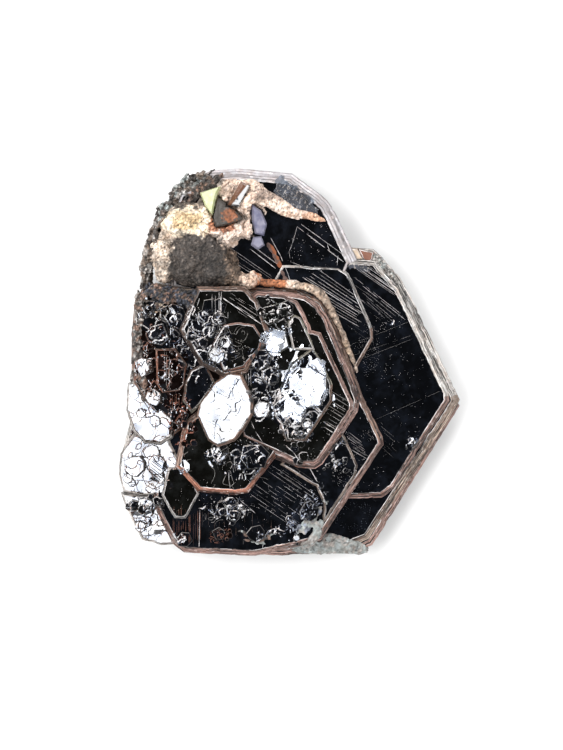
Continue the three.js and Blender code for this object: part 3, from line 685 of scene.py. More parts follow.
BED_VEILS = (
    # the cap and the beds on the left
    Veil((-8.4, 1.4), (2, 2.8), lean=4, spread=5, facet=1.4, swell=1.8, holes=0),
    Veil((-10, 4.6), (2.4, 1.7), swell=2, holes=-0.1),
    Veil((-14.4, 4.6), (4, 2.8), spread=2, swell=2.4, holes=-0.1),
    Veil((-16.3, 7), (2.4, 1.9), spread=2, facet=0.8, swell=1.4, face=DARK, edge=TAUPE, holes=-0.1),
    Veil((-15.8, 0.4), (2.9, 4.6), spread=2, face=GARNET, edge=BRICK, holes=-0.1),
    Veil((-11.4, 0.6), (2.2, 3.4), spread=2, holes=0),
    Veil((-13.1, -6.8), (1.9, 3.2), swell=1.5, face=GARNET, edge=RUSSET, holes=0.35),
    # painted reflection: this veil leans towards the left light and carries the bright steel tint
    Veil((-16.9, -0.4), (0.9, 1.1), lean=8, spread=4, facet=0.8, face=STEEL, edge=SILVER, holes=0.15),
)

# Most petal veils carry the bright steel tint: a painted reflection where the petals lean towards the left light.
PETAL_VEILS = (
    Veil((-16.8, -6), (2.7, 3.8), facet=2.6, step=0.06, swell=2.6, layers=1.2, face=STEEL, edge=UMBER,
        holes=-0.2),
    Veil((-17.2, -12.2), (3.3, 3.7), facet=2.4, step=0.06, swell=2.6, layers=1.2, face=STEEL, edge=UMBER,
        holes=-0.2),
    Veil((-17.2, -19.2), (2.4, 2.4), spread=4, step=0.06, swell=2, layers=1.2, face=STEEL, edge=UMBER,
        holes=-0.1),
    Veil((-17.2, -16.8), (2.6, 0.9), lean=3, spread=7, facet=0.8, swell=1.3),
    Veil((-12.6, -12.6), (0.7, 0.9), lean=8, spread=4, facet=0.9, face=STEEL, holes=0.1),
    Veil((-7.7, -5.7), (2.4, 3.4), spread=1, facet=3, step=0.03, swell=2.4, layers=1.2, face=STEEL,
        edge=SILVER, holes=-0.4),
)

RIPPLES = (
    Ripples((-7, -12.2), (5.6, 3.2), 3, 2, 0.1, SILVER, 0.36),
    Ripples((-7.6, -17.8), (3.2, 1.9), 1.9, 2, 0.1, SILVER, 0.5),
    Ripples((-8.4, -20.8), (1.2, 1), 1.2, 2, 0.1, BRICK),
    Ripples((-7.2, 2.4), (2.6, 2.6), 1.6, 2, 0.09, SILVER, 0.5),
    Ripples((-17.6, -9.6), (3.4, 8.4), 3, 2, 0.1, DARK, 0.4),
    Ripples((-7.6, -6), (2.7, 3.6), 1.8, 1, 0.07, SILVER, 0.45),
    Ripples((-17.4, -18.4), (2.6, 3.2), 1.6, 2, 0.11, DARK, 0.8),
)

LINES = (
    Lines(((1.2, 16.9), (7.3, 12.5)), ((1, 16.4), (6.7, 12.1)), 2, 0.12, 0.03, 0.05),
    Lines(((9.4, 11.8), (13.1, 9.2)), ((8, 11.3), (13.2, 7.7)), 6, 0.1, 0.03, 0.12),
    Lines(((7.6, 10.5), (14.5, 5.1)), ((9.2, 7.5), (12.4, 4.5)), 6, 0.07, 0.05, 0.2),
    Lines(((3.5, 11.1), (9.2, 7.1)), ((-0.4, 9.3), (9.2, 3.8)), 11, 0.1, 0.03, 0.12),
    Lines(((7.2, 9.6), (12.4, 6)), ((6.4, 4.8), (9.6, 2.4)), 7, 0.05, 0.15, 0.4, tone=SILVER),
    Lines(((4.7, -3.3), (7.6, -5.1)), ((3.7, -7.9), (7.1, -10)), 12, 0.1),
    Lines(((6.5, -7.9), (9.2, -10)), ((7.3, -10.3), (10, -11.9)), 8, 0.08),
    Lines(((8.6, -5.6), (13.6, -9.8)), ((9, -8.2), (12.8, -11.8)), 5, 0.06, tone=SILVER),
    Lines(((-3.2, -11.5), (4.9, -17)), ((-6.4, -15.1), (1.3, -20.3)), 12, 0.07, 0.12, 0.45),
    Lines(((-1.4, -10.2), (3.4, -13.6)), ((-2.6, -12.4), (2.2, -15.8)), 5, 0.06, 0.15, 0.4, tone=SILVER),
    Lines(((-16.8, -10.9), (-14.1, -12.9)), ((-16.9, -13.4), (-15, -14.9)), 8, 0.15, 0.03, 0.2, tone=DUSK),
    Lines(((-14, -17.1), (-14, -22.3)), ((-10.7, -17.1), (-10.7, -22.3)), 13, 0.1, tone=BRICK),
    Lines(((-10.4, -17.1), (-10.4, -22)), ((-2, -17.6), (-2, -21.8)), 14, 0.06, 0.3, 0.5, tone=UMBER),
    Lines(((-9.1, 8.7), (-9.1, 4.9)), ((-8, 8.7), (-8, 5.6)), 4, 0.1),
    Lines(((-7.3, 8.6), (-3, 5.8)), ((-6.8, 6.5), (-4.4, 4.9)), 6, 0.09),
    Lines(((-5.9, -0.7), (-5.8, -3.5)), ((-4.6, -0.7), (-4.6, -3.5)), 6),
    Lines(((-14.9, 2.1), (-14.9, -3.1)), ((-14.4, 2.1), (-14.4, -3.3)), 3, 0.09),
    Lines(((-14.3, -3.7), (-14.3, -5.7)), ((-12.6, -3.7), (-12.6, -6.3)), 7, 0.12, tone=BRICK),
    Lines(((-9.4, -9.4), (-8, -13.4)), ((-3.8, -9.4), (-2.4, -13)), 8, 0.06, 0.3, 0.5, tone=SILVER),
    Lines(((-8.2, 14.6), (-0.4, 9.2)), ((-8.4, 13.2), (-1.6, 8.9)), 4, 0.1, 0.03),
    Lines(((-2.4, 21.3), (2.6, 17.6)), ((0.2, 21.4), (3.4, 18.4)), 6, 0.07, 0.15, 0.4, tone=SILVER),
)

CREASES = (
    Crease(((1, 16.4), (0.4, 14.3), (0, 13.3), (0.2, 12.1), (1.6, 11.6)), 0.09),
    Crease(((4.6, 14.3), (4.9, 13.3)), 0.1),
    Crease(((5.9, 12.9), (5.8, 11.7)), 0.1),
    Crease(((10.3, -6.9), (18.5, -3.3)), 0.05, SILVER),
    Crease(((7.3, 2.1), (14.9, 5.1)), 0.05, SILVER),
    Crease(((6.7, 0.5), (15.4, 3.5)), 0.05, SILVER),
    Crease(((7.9, 0.1), (15.5, 3.1)), 0.05, SILVER),
    Crease(((-0.7, -12.2), (1.3, -13.4), (3.2, -14.6), (4.1, -15.9), (4.3, -16.9)), 0.12),
    Crease(((-5.9, -16.5), (-3.8, -18.3)), 0.12),
    Crease(((-10.7, -17.7), (-10.8, -22.4)), 0.12),
    Crease(((-8.2, 7.9), (-3.2, 4.5)), 0.18),
    Crease(((-8.2, 7.9), (-8.2, 5.6), (-9, 4.6), (-9.2, 3.7), (-10.3, 2.9), (-11.2, 2.7))),
    Crease(((-8.2, 5.6), (-7.3, 5.3), (-7.3, 6.4)), 0.12),
    Crease(((-12, 4.3), (-12.2, 2)), 0.1),
    Crease(((-12, 4.3), (-11.2, 3.5)), 0.1),
    Crease(((-15.8, 1.7), (-15.7, -2.6), (-15.1, -3.7)), 0.2, BRICK),
    Crease(((-2.6, 14.4), (-1.9, 13.2), (-1.2, 11.8), (-0.6, 10.4), (0, 8.6)), 0.7, RUST),
    Crease(((-2.3, 14.2), (-1.6, 12.9), (-1, 11.4)), 0.6, EMBER),
    Crease(((-2.2, 15), (-1, 12.8), (-0.1, 10.6), (0.4, 8.9)), 0.14),
    Crease(((-12.8, -6.9), (-12.8, -10.5), (-12.5, -11.3)), 0.14, RUST),
    Crease(((-4.7, 13.7), (-1.6, 11.3)), 0.14),
    Crease(((-4.3, 14), (-1.1, 11.6)), 0.12),
    Crease(((-2.5, 9.7), (-0.2, 8.5)), 0.12),
    Crease(((0.3, -3.2), (-0.7, -3.5), (-1.6, -4.3), (-1.9, -5.5), (-1.6, -6.5), (-0.7, -7.4), (0.4, -7.7),
        (1.4, -7.6)), 0.26, climb=0.8),
    Crease(((-0.2, -7.7), (-0.1, -9.1), (1.7, -9.5))),
    Crease(((-4.7, -6.7), (-4, -8.3), (-3, -9.8), (-2.5, -10.5), (-2.5, -11.5)), 0.12),
    Crease(((-6.6, -11.6), (-4.7, -10.5), (-3.2, -9.8)), 0.12),
    Crease(((-6.7, -12.1), (-7.2, -13.1), (-7.2, -14.1), (-7, -15.3)), 0.12),
    Crease(((-0.7, -9.7), (0.5, -10.7), (1.3, -11.9), (2.6, -12.2)), 0.14),
    Crease(((2.5, -12.7), (3.4, -14.3)), 0.14),
    Crease(((-3.2, -22.3), (-3, -21.1), (-2.5, -20.2), (-1.6, -19.9), (-0.5, -20.3)), 0.14),
    Crease(((-11, 6.7), (-10.7, 7.7), (-11.2, 8.5)), 0.12),
    Crease(((-14, 7.5), (-12.8, 7.6), (-11.9, 7.7), (-11.5, 8.7), (-11.6, 9.3))),
)

SPECKS = (
    Specks((12.1, 5.1), (1.7, 1.4), 90, (0.03, 0.075)),
    Specks((9.6, 1.6), (1.3, 3.4), 360, (0.03, 0.06)),
    Specks((12, -3), (5.4, 7.6), 520, (0.03, 0.075)),
    Specks((8.4, -12), (3.4, 4), 380, (0.03, 0.075)),
    Specks((8, -18), (2.8, 2.8), 260, (0.03, 0.08), SLATE),
    Specks((3, 13.6), (3.4, 3.4), 200, (0.03, 0.085)),
    Specks((0.4, 19.8), (3.6, 1.8), 90, (0.03, 0.07), SLATE),
    Specks((4.5, 4.5), (4.6, 5.4), 320, (0.03, 0.085)),
    Specks((5.6, -9.8), (3.6, 6), 420, (0.03, 0.09)),
    Specks((-2.2, -13.6), (6, 6.4), 520, (0.03, 0.09)),
    Specks((-9, -17.8), (5.4, 4), 260, (0.03, 0.085)),
    Specks((-11, 1), (6, 7.6), 420, (0.03, 0.1)),
)

CRUST_RUNS = (
    CrustRun(((-17.9, 8.2), (-18.2, 2), (-18.4, -3.6)), 0.5, 2.6, 7.8, 260),
    CrustRun(((-17.4, 8.6), (-16.9, 13), (-15.6, 17.4)), 0.5, 3, 6.8, 240),
    CrustRun(((-17.6, 12), (-17.4, 10.6)), 0.2, 5.4, 6.6, 10, (0.3, 0.5), (1.2, 0.9, 0.9)),
    CrustRun(((-15.5, 17.3), (-13.3, 20.7), (-9.6, 22.5)), 0.75, 4.3, 6.9, 280, (0.22, 0.5),
        tones=(MOSS, TAUPE, DARK, SILVER)),
    CrustRun(((-13.4, 18.2), (-10.6, 20.6), (-8.4, 22)), 0.6, 5.4, 7, 110, (0.22, 0.45),
        tones=(DARK, UMBER, DARK)),
    CrustRun(((-17.7, 8.2), (-18.2, 4), (-18.1, 0.5), (-17.2, -4.4)), 0.45, 7.4, 8.9, 230, (0.2, 0.42),
        tones=(DARK, SILVER, DARK, UMBER)),
    CrustRun(((1.2, -22.3), (5, -22.2), (8.8, -22.3)), 0.42, 3, 5.2, 150, (0.3, 0.6), (2.3, 1, 0.35),
        tones=(MOSS, MOSS, MOSS, SILVER)),
    CrustRun(((2, -21.9), (3.2, -20.8), (4, -18.9)), 0.35, 4.6, 8.2, 110, (0.25, 0.5), (2.2, 0.9, 0.4),
        tones=(MOSS, SILVER)),
    CrustRun(((4.2, -20.9), (5.8, -21.1), (7.6, -21.8)), 0.2, 4.6, 5.8, 60, (0.22, 0.42), (2.2, 0.8, 0.35),
        tones=(MOSS, MOSS, SILVER)),
    CrustRun(((1.4, -20.2), (3, -18.9), (4.3, -16.4)), 0.5, 5.6, 8.6, 120, (0.16, 0.34), (1.8, 0.9, 0.4),
        tones=(SLATE, SILVER, MOSS)),
    CrustRun(((-6.2, -20.6), (-3.8, -21.2), (-0.8, -20.9)), 0.6, 5.6, 8, 90, (0.14, 0.3), (1.8, 0.9, 0.4),
        tones=(DARK, UMBER, MOSS, DARK)),
    CrustRun(((10.4, 12.5), (11, 11.9), (12.9, 9.6)), 0.35, 3.2, 5.2, 140, (0.2, 0.45),
        tones=(MOSS, SILVER, SILVER)),
    CrustRun(((-16.6, 8.8), (-14.6, 8), (-12.4, 7.9), (-10.8, 7)), 0.8, 9.2, 10.4, 260, (0.2, 0.45),
        (1.4, 0.9, 0.6), tones=(DUSK, DARK, DUSK, UMBER)),
    CrustRun(((-16.4, 6.6), (-13.4, 6), (-10.9, 5.4)), 0.5, 9.2, 10.4, 60, (0.16, 0.34), (1.6, 0.8, 0.5),
        tones=(CREAM, RUST, TAUPE)),
)


@dataclass
class LateGrowths:
    """Sets the small late growths on the plates, from seeded draws."""

    stack: Skin
    seed: int
    foot: float = 0.25  # how far a small plate is sunk into what carries it
    lift: Point = (0.02, 0.16)  # how far a small plate stands out of it
    rosette_height: float = 1.1  # from the face of a rosette to its foot
    stepped: float = 0.7  # a place is skipped where the ground falls away by more than this
    lip: float = 0.08  # width of the arris round a small plate
    lamina: float = 0.22  # height of a layer in the wall of a small plate
    lit: Point = (-0.6, 0.8)  # arrises that face this way are painted lighter, the others darker: painted light and shade
    glint: float = -4  # plates that lean further than this towards -X get the bright steel tint: a painted reflection

    def __post_init__(self) -> None:
        """Starts the random draws and an empty skin."""
        self.random = random.Random(self.seed)
        self.skin = Skin()

    def outline(self, middle: Point, radius: float, sides: int, ragged: float) -> list[Vector]:
        """Draws a rough round outline.

        Args:
            middle: its middle.
            radius: its mean radius.
            sides: how many corners.
            ragged: how uneven it is, as a share of the radius.

        Returns:
            Its corners.
        """
        turn = self.random.uniform(0, math.tau)
        corners = []
        for i in range(sides):
            angle = turn + math.tau * (i + self.random.uniform(-0.18, 0.18)) / sides
            reach = radius * self.random.uniform(1 - ragged, 1 + ragged)
            corners.append((middle[0] + math.cos(angle) * reach, middle[1] + math.sin(angle) * reach))
        return counter_clockwise(corners)

    def level(self, ground: Ground, x: float, y: float, reach: float) -> float | None:
        """Finds the ground's height where it is fairly even.

        Args:
            ground: what carries the growth.
            x: place along X.
            y: place along Y.
            reach: how far round the place to look.

        Returns:
            The greatest height, or None where the ground is stepped or missing.
        """
        around = [(0, 0), (reach, 0), (-reach, 0), (0, reach), (0, -reach)]
        heights = [ground.height(x + dx, y + dy) for dx, dy in around]
        if None in heights or max(heights) - min(heights) > self.stepped:
            return None
        return max(heights)

    def small_plate(
        self, corners: list[Vector], height: float, lean: Point, face: Colour, edge: Colour, foot: float
    ) -> None:
        """Adds one small plate.

        Args:
            corners: its outline.
            height: height of its face.
            lean: lean about X and about Y, in degrees.
            face: tint of its face.
            edge: colour of its edge.
            foot: how far it reaches down.
        """
        middle = sum(corners, Vector((0, 0))) / len(corners)
        turn = leaning(lean)

        def ring(reach: float, depth: float) -> list[int]:
            """Adds a ring of points.

            Args:
                reach: how far out from the outline.
                depth: how far below the face.

            Returns:
                Their indices.
            """
            ways = [corner - middle for corner in corners]
            flats = [way + way.normalized() * reach for way in ways]
            top = Vector((*middle, height))
            return self.skin.add_ring([turn @ Vector((*flat, -depth)) + top for flat in flats])

        upper = ring(0.0, 0.0)
        self.skin.add_face(upper, face, Finish.MIRROR)
        lip = ring(self.lip, 0.05)
        lip_tints = []
        for a, b in pairs(corners):
            side = (b - a).normalized()
            # Painted light and shade: an arris is painted lighter the more it faces the lit way.
            facing = side.y * self.lit[0] - side.x * self.lit[1]
            lip_tints.append(shaded(edge, max(0.05, 0.9 * facing + self.random.uniform(-0.4, 0.3))))
        self.skin.bridge(upper, lip, lip_tints)
        upper = lip
        count = max(1, round(foot / self.lamina))
        for layer in range(count):
            # Painted shade on the wall: its layers are painted at half and at a quarter of the edge colour, in
            # turn.
            proud, light = (1.3, 0.25) if layer % 2 else (1.0, 0.5)
            lower = ring(self.lip * proud, foot * (layer + 1) / count)
            self.skin.bridge(upper, lower, [shaded(edge, light)] * len(corners))
            upper = lower
        self.skin.add_face(upper[::-1])

    def patch(self, ground: Ground, patch: Patch) -> None:
        """Adds a patch of small plates.

        Args:
            ground: what carries them.
            patch: the patch.
        """
        for _ in range(patch.count):
            x, y = patch.draw(self.random)
            radius = patch.size[0] + (patch.size[1] - patch.size[0]) * self.random.random() ** 1.6
            corners = self.outline((x, y), radius, self.random.randint(*patch.sides), 0.14)
            lift = self.random.uniform(*self.lift)
            lean = tuple(value + self.random.gauss(0, patch.spread * 0.6) for value in patch.lean)
            face = shaded(self.face(lean, patch.faces).value, self.random.uniform(0.75, 1.25))
            edge = shaded(patch.edge.value, self.random.uniform(0.5, 1.2))
            height = self.level(ground, x, y, radius * 0.8)
            if height is not None:
                self.small_plate(corners, height + lift, lean, face, edge, lift + self.foot)

    def face(self, lean: Point, tones: tuple[Tone, ...]) -> Tone:
        """Returns one of the tones, or the bright steel tint as a painted reflection for a plate that leans to
        the light.
        """
        return STEEL if lean[1] < self.glint else self.random.choice(tones)

    def build(self) -> Skin:
        """Adds every growth, the rosettes first.

        Returns:
            Their skin.
        """
        for x, y, top, radius, sides, *lean in ROSETTES:
            corners = self.outline((x, y), radius, sides, 0.16)
            tone = self.face(lean, (BLACK, OLIVE, NAVY))
            self.small_plate(corners, top, lean, tone.value, SILVER.value, self.rosette_height)
        ground = Ground(self.stack, self.skin)
        for patch in PATCHES:
            self.patch(ground, patch)
        return self.skin


@dataclass
class FineGrowths:
    """Lays growth lines, ripples and specks on the plates."""

    ground: Ground
    seed: int
    step: float = 0.35  # a line is looked up this often
    climb: float = 0.2  # a line ends where the ground steps by more than this
    clumped: float = 0.6  # how far specks gather in clumps
    sunk: float = 0.04  # how far a line's foot is below the ground
    crest: float = 0.42  # height of a line, as a share of its width
    cell: float = 0.16  # ripples are looked up this often
    lowest: float = 0.09  # outermost level line of a hillock
    step_up: float = 0.26  # from one level line to the next

    def __post_init__(self) -> None:
        """Starts the random draws and an empty skin."""
        self.random = random.Random(self.seed)
        self.skin = Skin()

    def ridge(self, path: list[Vector], width: float, colour: Colour, end: float = 0.45) -> None:
        """Adds one unbroken ridge.

        Args:
            path: its crest line on the ground.
            width: its width at the foot.
            colour: its colour.
            end: width at its ends, as a share of that.
        """
        if len(path) < 2:
            return
        rows = []
        for i, point in enumerate(path):
            ahead = path[min(i + 1, len(path) - 1)] - path[max(i - 1, 0)]
            side = Vector((-ahead.y, ahead.x, 0)).normalized() * width / 2
            taper = end if i in (0, len(path) - 1) else self.random.uniform(0.7, 1.15)
            low = Vector((0, 0, -self.sunk))
            top = Vector((0, 0, self.crest * width * taper))
            across = side * taper
            rows.append(self.skin.add_ring([point - across + low, point + across + low, point + top]))
        for (a, b, c), (d, e, f) in zip(rows, rows[1:]):
            tint = shaded(colour, self.random.uniform(0.7, 1.25))
            for corners in ((a, d, f, c), (e, b, c, f), (b, e, d, a)):
                self.skin.add_face(corners, tint)
        a, b, c = rows[0]
        self.skin.add_face((a, c, b), colour)
        self.skin.add_face(rows[-1], colour)

    def line(
        self, start: Vector, end: Vector, width: float, colour: Colour, gaps: float, climb: float
    ) -> None:
        """Adds a straight growth line, broken where the ground steps and at random gaps.

        Args:
            start: where it starts.
            end: where it ends.
            width: its width at the foot.
            colour: its colour.
            gaps: share of it that is missing.
            climb: the highest step of the ground that it crosses.
        """
        count = max(2, round((end - start).length / self.step))
        run: list[Vector] = []
        for i in range(count + 1):
            x, y = start.lerp(end, i / count)
            z = self.ground.height(x, y)
            if z is None or (run and abs(z - run[-1].z) > climb) or self.random.random() < gaps:
                self.ridge(run, width, colour)
                run = []
            if z is not None:
                run.append(Vector((x, y, z)))
        self.ridge(run, width, colour)

    def line_set(self, lines: Lines) -> None:
        """Adds a set of parallel growth lines.

        Args:
            lines: the set.
        """
        first, last = ([Vector(p) for p in pair] for pair in (lines.first, lines.last))
        for i in range(lines.count):
            share = (i + self.random.uniform(-0.3, 0.3)) / max(1, lines.count - 1)
            start, end = (a.lerp(b, share) for a, b in zip(first, last))
            span = end - start
            start = start + span * self.random.uniform(0, lines.trim)
            end = end - span * self.random.uniform(0, lines.trim)
            colour = shaded(lines.tone.value, self.random.uniform(0.35, 1.15))
            width = lines.width * self.random.uniform(0.7, 1.3)
            self.line(start, end, width, colour, lines.gaps, self.climb)

    def speck_field(self, specks: Specks) -> None:
        """Adds a scatter of four-sided specks.

        Args:
            specks: the scatter.
        """
        for _ in range(specks.count):
            x, y = specks.draw(self.random)
            colour = shaded(specks.tone.value, self.random.uniform(0.5, 1.5))
            clump = wave(x, y, 0.55, 3.0) + 0.5 * wave(x, y, 1.7, 8.0)
            if clump <= self.clumped * (self.random.random() - 0.5):
                continue
            radius = self.random.uniform(*specks.size)
            z = self.ground.height(x, y)
            if z is None:
                continue
            turn = self.random.uniform(0, math.tau)
            ways = [(math.cos(turn + k * math.pi / 2), math.sin(turn + k * math.pi / 2)) for k in range(4)]
            low = z - self.sunk
            foot = self.skin.add_ring([Vector((x + c * radius, y + s * radius, low)) for c, s in ways])
            tip = self.skin.add_point(Vector((x, y, z + radius * 0.5)))
            for a, b in pairs(foot):
                self.skin.add_face((a, b, tip), colour)
            self.skin.add_face(foot[::-1], colour)

    def ripple_field(self, size: float, seed: float, x: float, y: float) -> float:
        """Says how far inside a hillock a place is. The ripples are this field's level lines.

        Args:
            size: usual distance across a hillock.
            seed: picks the hillocks.
            x: place along X.
            y: place along Y.

        Returns:
            The distance in sizes, which is 0 where two hillocks meet.
        """
        x, y = x / size, y / size
        warp = [wave(x, y, 1, seed + k) * 0.45 for k in (0, 9)]
        near = noise.voronoi(Vector((x + warp[0], y + warp[1], seed)))[0]
        return near[1] - near[0]

    def ripples(self, ripples: Ripples, seed: float) -> None:
        """Adds meandering edges of growth layers over an oval place.

        Args:
            ripples: the place.
            seed: picks the random field.
        """
        cell = min(self.cell, ripples.size * 0.16)
        xs, ys = (
            [middle - reach + i * cell for i in range(max(2, int(2 * reach / cell)) + 1)]
            for middle, reach in zip(ripples.middle, ripples.reach)
        )
        grid = [[(x, y, self.ripple_field(ripples.size, seed, x, y)) for x in xs] for y in ys]
        for level in range(ripples.levels):
            height = self.lowest + self.step_up * level
            for row, above in zip(grid, grid[1:]):
                for square in zip(row, row[1:], above[1:], above):
                    self.ripple_piece(ripples, seed + level, list(square), height)

    def ripple_piece(self, ripples: Ripples, seed: float, square: list[Triple], height: float) -> None:
        """Adds the piece of an edge that crosses one small square.

        Args:
            ripples: the place.
            seed: picks where the edge shows.
            square: its corners and the field there.
            height: level of the edge.
        """
        ends = []
        for (x0, y0, v0), (x1, y1, v1) in pairs(square):
            if (v0 < height) != (v1 < height):
                share = (height - v0) / (v1 - v0)
                ends.append(Vector((x0 + (x1 - x0) * share, y0 + (y1 - y0) * share)))
        if len(ends) != 2:
            return
        middle = (ends[0] + ends[1]) / 2
        off = math.hypot(*((a - b) / c for a, b, c in zip(middle, ripples.middle, ripples.reach)))
        shown = 0.5 + 1.1 * wave(*middle, 0.6, seed * 3.1)
        if shown > ripples.cover or off > 1 + 0.3 * wave(*middle, 1, seed):
            return
        heights = [self.ground.height(*end) for end in ends]
        if None in heights or abs(heights[0] - heights[1]) > self.climb:
            return
        path = [Vector((*end, z)) for end, z in zip(ends, heights)]
        width = ripples.width * (1 + 0.9 * wave(*middle, 1.9, seed + 4))
        self.ridge(path, width, shaded(ripples.tone.value, 0.8 + 0.8 * wave(*middle, 1.3, seed)), 1.0)

    def build(self) -> Skin:
        """Adds the line sets, creases, specks and ripples.

        Returns:
            Their skin.
        """
        for lines in LINES:
            self.line_set(lines)
        for crease in CREASES:
            points = [Vector(p) for p in crease.path]
            for start, end in zip(points, points[1:]):
                self.line(start, end, crease.width, crease.tone.value, 0.02, crease.climb)
        for specks in SPECKS:
            self.speck_field(specks)
        for i, ripples in enumerate(RIPPLES):
            self.ripples(ripples, 11.3 * i)
        return self.skin


def bent(flat: Vector, strength: float, pitch: float, seed: float, shifts: Point) -> Vector:
    """Returns a flat place strayed by smooth noise, with a seed as its Z."""
    stray = [strength * noise.noise(flat * pitch + Vector((0, 0, seed + shift))) for shift in shifts]
    return flat + Vector((*stray, seed))


@dataclass
class VeilMaker:
    """Drapes one crinkled growth over what is below it, as a thin closed sheet."""

    veil: Veil
    ground: Ground
    skin: Skin
    seed: float
    spacing: float = 0.08  # size of a cell of the mesh
    lift: float = 0.04  # how far the veil stands over the ground
    thick: float = 0.12  # how far its lower side is below its upper one
    soft: float = 0.3  # width of a step between facets, as a share of a facet
    riser: float = 0.08  # width of a step between layers
    floor: float = 0.05  # painted shade: how light the darkest steps are on a dark veil
    pale_floor: float = 0.75  # the same on a bright one
    skew: float = 0.5  # how far hillocks are turned against one another, in radians
    steep: float = 16  # cells steeper than this are steps, in degrees
    glint: float = 5  # cells that lean further than this towards -X get the bright steel tint: a painted reflection
    lit: Triple = (-0.6, 0.8, 0)  # steps that face this way are painted lighter, the others darker: painted light and shade

    def rise(self, x: float, y: float) -> float:
        """Says how far a jumble of leaning, layered facets stands out at a place.

        Args:
            x: place along X.
            y: place along Y.

        Returns:
            The height.
        """
        veil = self.veil
        place = bent(Vector((x, y, 0)) / veil.facet, 0.3, 0.9, self.seed, (0, 9))
        near, spots = noise.voronoi(place)[:2]
        heights = []
        for spot in spots[:2]:
            draw = noise.cell_vector(spot * 61.7)
            away = (place - spot) * veil.facet
            slopes = [math.tan(math.radians(lean + veil.spread * (2 * share - 1)))
                      for lean, share in zip((veil.lean, 0), draw[:2])]
            heights.append(veil.step * draw.z + away.x * slopes[0] + away.y * slopes[1])
        share = 0.5 + 0.5 * min(1.0, (near[1] - near[0]) / self.soft)
        return heights[0] * share + heights[1] * (1 - share) + self.layered(Vector((x, y, self.seed)))

    def layered(self, place: Vector) -> float:
        """Says how high the growth layers reach: six-sided hillocks of flat treads and short steps.

        Args:
            place: the place, with the seed as its Z.

        Returns:
            The height.
        """
        veil = self.veil
        flat = Vector((place.x, place.y, 0)) / veil.swell
        strayed = bent(flat, 0.35, 1.7, place.z, (3, 6))
        reaches = []
        for spot in noise.voronoi(strayed)[1]:
            draw = noise.cell_vector(spot * 37.3)
            away = strayed - spot
            turns = [self.skew * (draw.x - 0.5) + math.pi * k / 3 for k in range(3)]
            sides = [abs(away.x * math.cos(turn) + away.y * math.sin(turn)) for turn in turns]
            reaches.append(max(sides) - 0.4 * draw.y)
        swell = -veil.layers * min(reaches) + 0.25 * noise.noise(flat * 2.4)
        tread = math.floor(swell)
        return veil.step * (tread + min(1.0, (swell - tread) * veil.swell / (self.riser * veil.layers)))

    def point(self, x: float, y: float) -> Vector | None:
        """Finds a point of the veil's upper side.

        Args:
            x: place along X.
            y: place along Y.

        Returns:
            The point, or None where the veil is open.
        """
        veil = self.veil
        turn = Matrix.Rotation(math.radians(-veil.turn), 2)
        along, across = turn @ Vector((x - veil.middle[0], y - veil.middle[1]))
        off = math.hypot(along / veil.reach[0], across / veil.reach[1])
        torn = wave(x, y, 0.7, self.seed) + 0.4 * wave(x, y, 2.2, self.seed)
        if off + 0.5 * torn > 1.0 or torn < -0.55 + veil.holes or None is (z := self.ground.height(x, y)):
            return None
        return Vector((x, y, z + self.lift + self.rise(x, y)))

    def look(self, corners: list[Vector], gleam: float) -> tuple[Colour, Finish]:
        """Finishes one cell of the mesh by how it lies: steps are painted lighter or darker by which way they
        face, and the steps of a dark veil are dull; facets that lean towards -X get the bright steel tint, a
        painted reflection.

        Args:
            corners: the cell's corners.
            gleam: how light this part of the veil is, about 0.

        Returns:
            Its colour and finish.
        """
        veil = self.veil
        normal = (corners[2] - corners[0]).cross(corners[3] - corners[1]).normalized()
        if normal.z < math.cos(math.radians(self.steep)):
            # Painted light and shade on the steps, by which way they face.
            facing = Vector((normal.x, normal.y, 0)).normalized().dot(Vector(self.lit))
            pale = veil.face is STEEL
            light = max(self.pale_floor if pale else self.floor, 0.3 + 0.65 * facing + 0.9 * gleam)
            return shaded(veil.edge.value, light), Finish.MIRROR if pale else Finish.BAND
        # Painted reflection: facets that lean towards the left light get the bright steel tint.
        bright = normal.x < -math.sin(math.radians(self.glint))
        return shaded((STEEL if bright else veil.face).value, 1.0 + 0.5 * gleam), veil.finish

    def drape(self) -> None:
        """Adds the veil to the skin, cell by cell, with its rims closed."""
        veil = self.veil
        turn = Matrix.Rotation(math.radians(veil.turn), 2)
        ends = [turn @ Vector((veil.reach[0], veil.reach[1] * side)) for side in (1, -1)]
        span = [1.2 * max(abs(end[axis]) for end in ends) for axis in (0, 1)]
        counts = [int(2 * reach / self.spacing) for reach in span]
        low = [middle - reach for middle, reach in zip(veil.middle, span)]
        points = {(i, j): self.point(low[0] + i * self.spacing, low[1] + j * self.spacing)
                  for j in range(counts[1]) for i in range(counts[0])}
        kept: dict[tuple[int, int], list[tuple[int, int]]] = {}
        for i in range(counts[0] - 1):
            for j in range(counts[1] - 1):
                keys = [(i, j), (i + 1, j), (i + 1, j + 1), (i, j + 1)]
                heights = [points[key].z for key in keys if points[key] is not None]
                if len(heights) == len(keys) and max(heights) - min(heights) < veil.drape:
                    kept[i, j] = keys
        upper: dict[tuple[int, int], int] = {}
        lower: dict[tuple[int, int], int] = {}
        for key in (key for keys in kept.values() for key in keys):
            if key not in upper:
                upper[key] = self.skin.add_point(points[key])
                lower[key] = self.skin.add_point(points[key] - Vector((0, 0, self.thick)))
        for (i, j), keys in kept.items():
            look = self.look([points[key] for key in keys], wave(i, j, 0.07, self.seed))
            self.skin.add_face([upper[key] for key in keys], *look)
            self.skin.add_face([lower[key] for key in reversed(keys)])
            beside = [(i, j - 1), (i + 1, j), (i, j + 1), (i - 1, j)]
            for (start, end), other in zip(pairs(keys), beside):
                if other not in kept:
                    self.skin.add_face((lower[start], lower[end], upper[end], upper[start]))


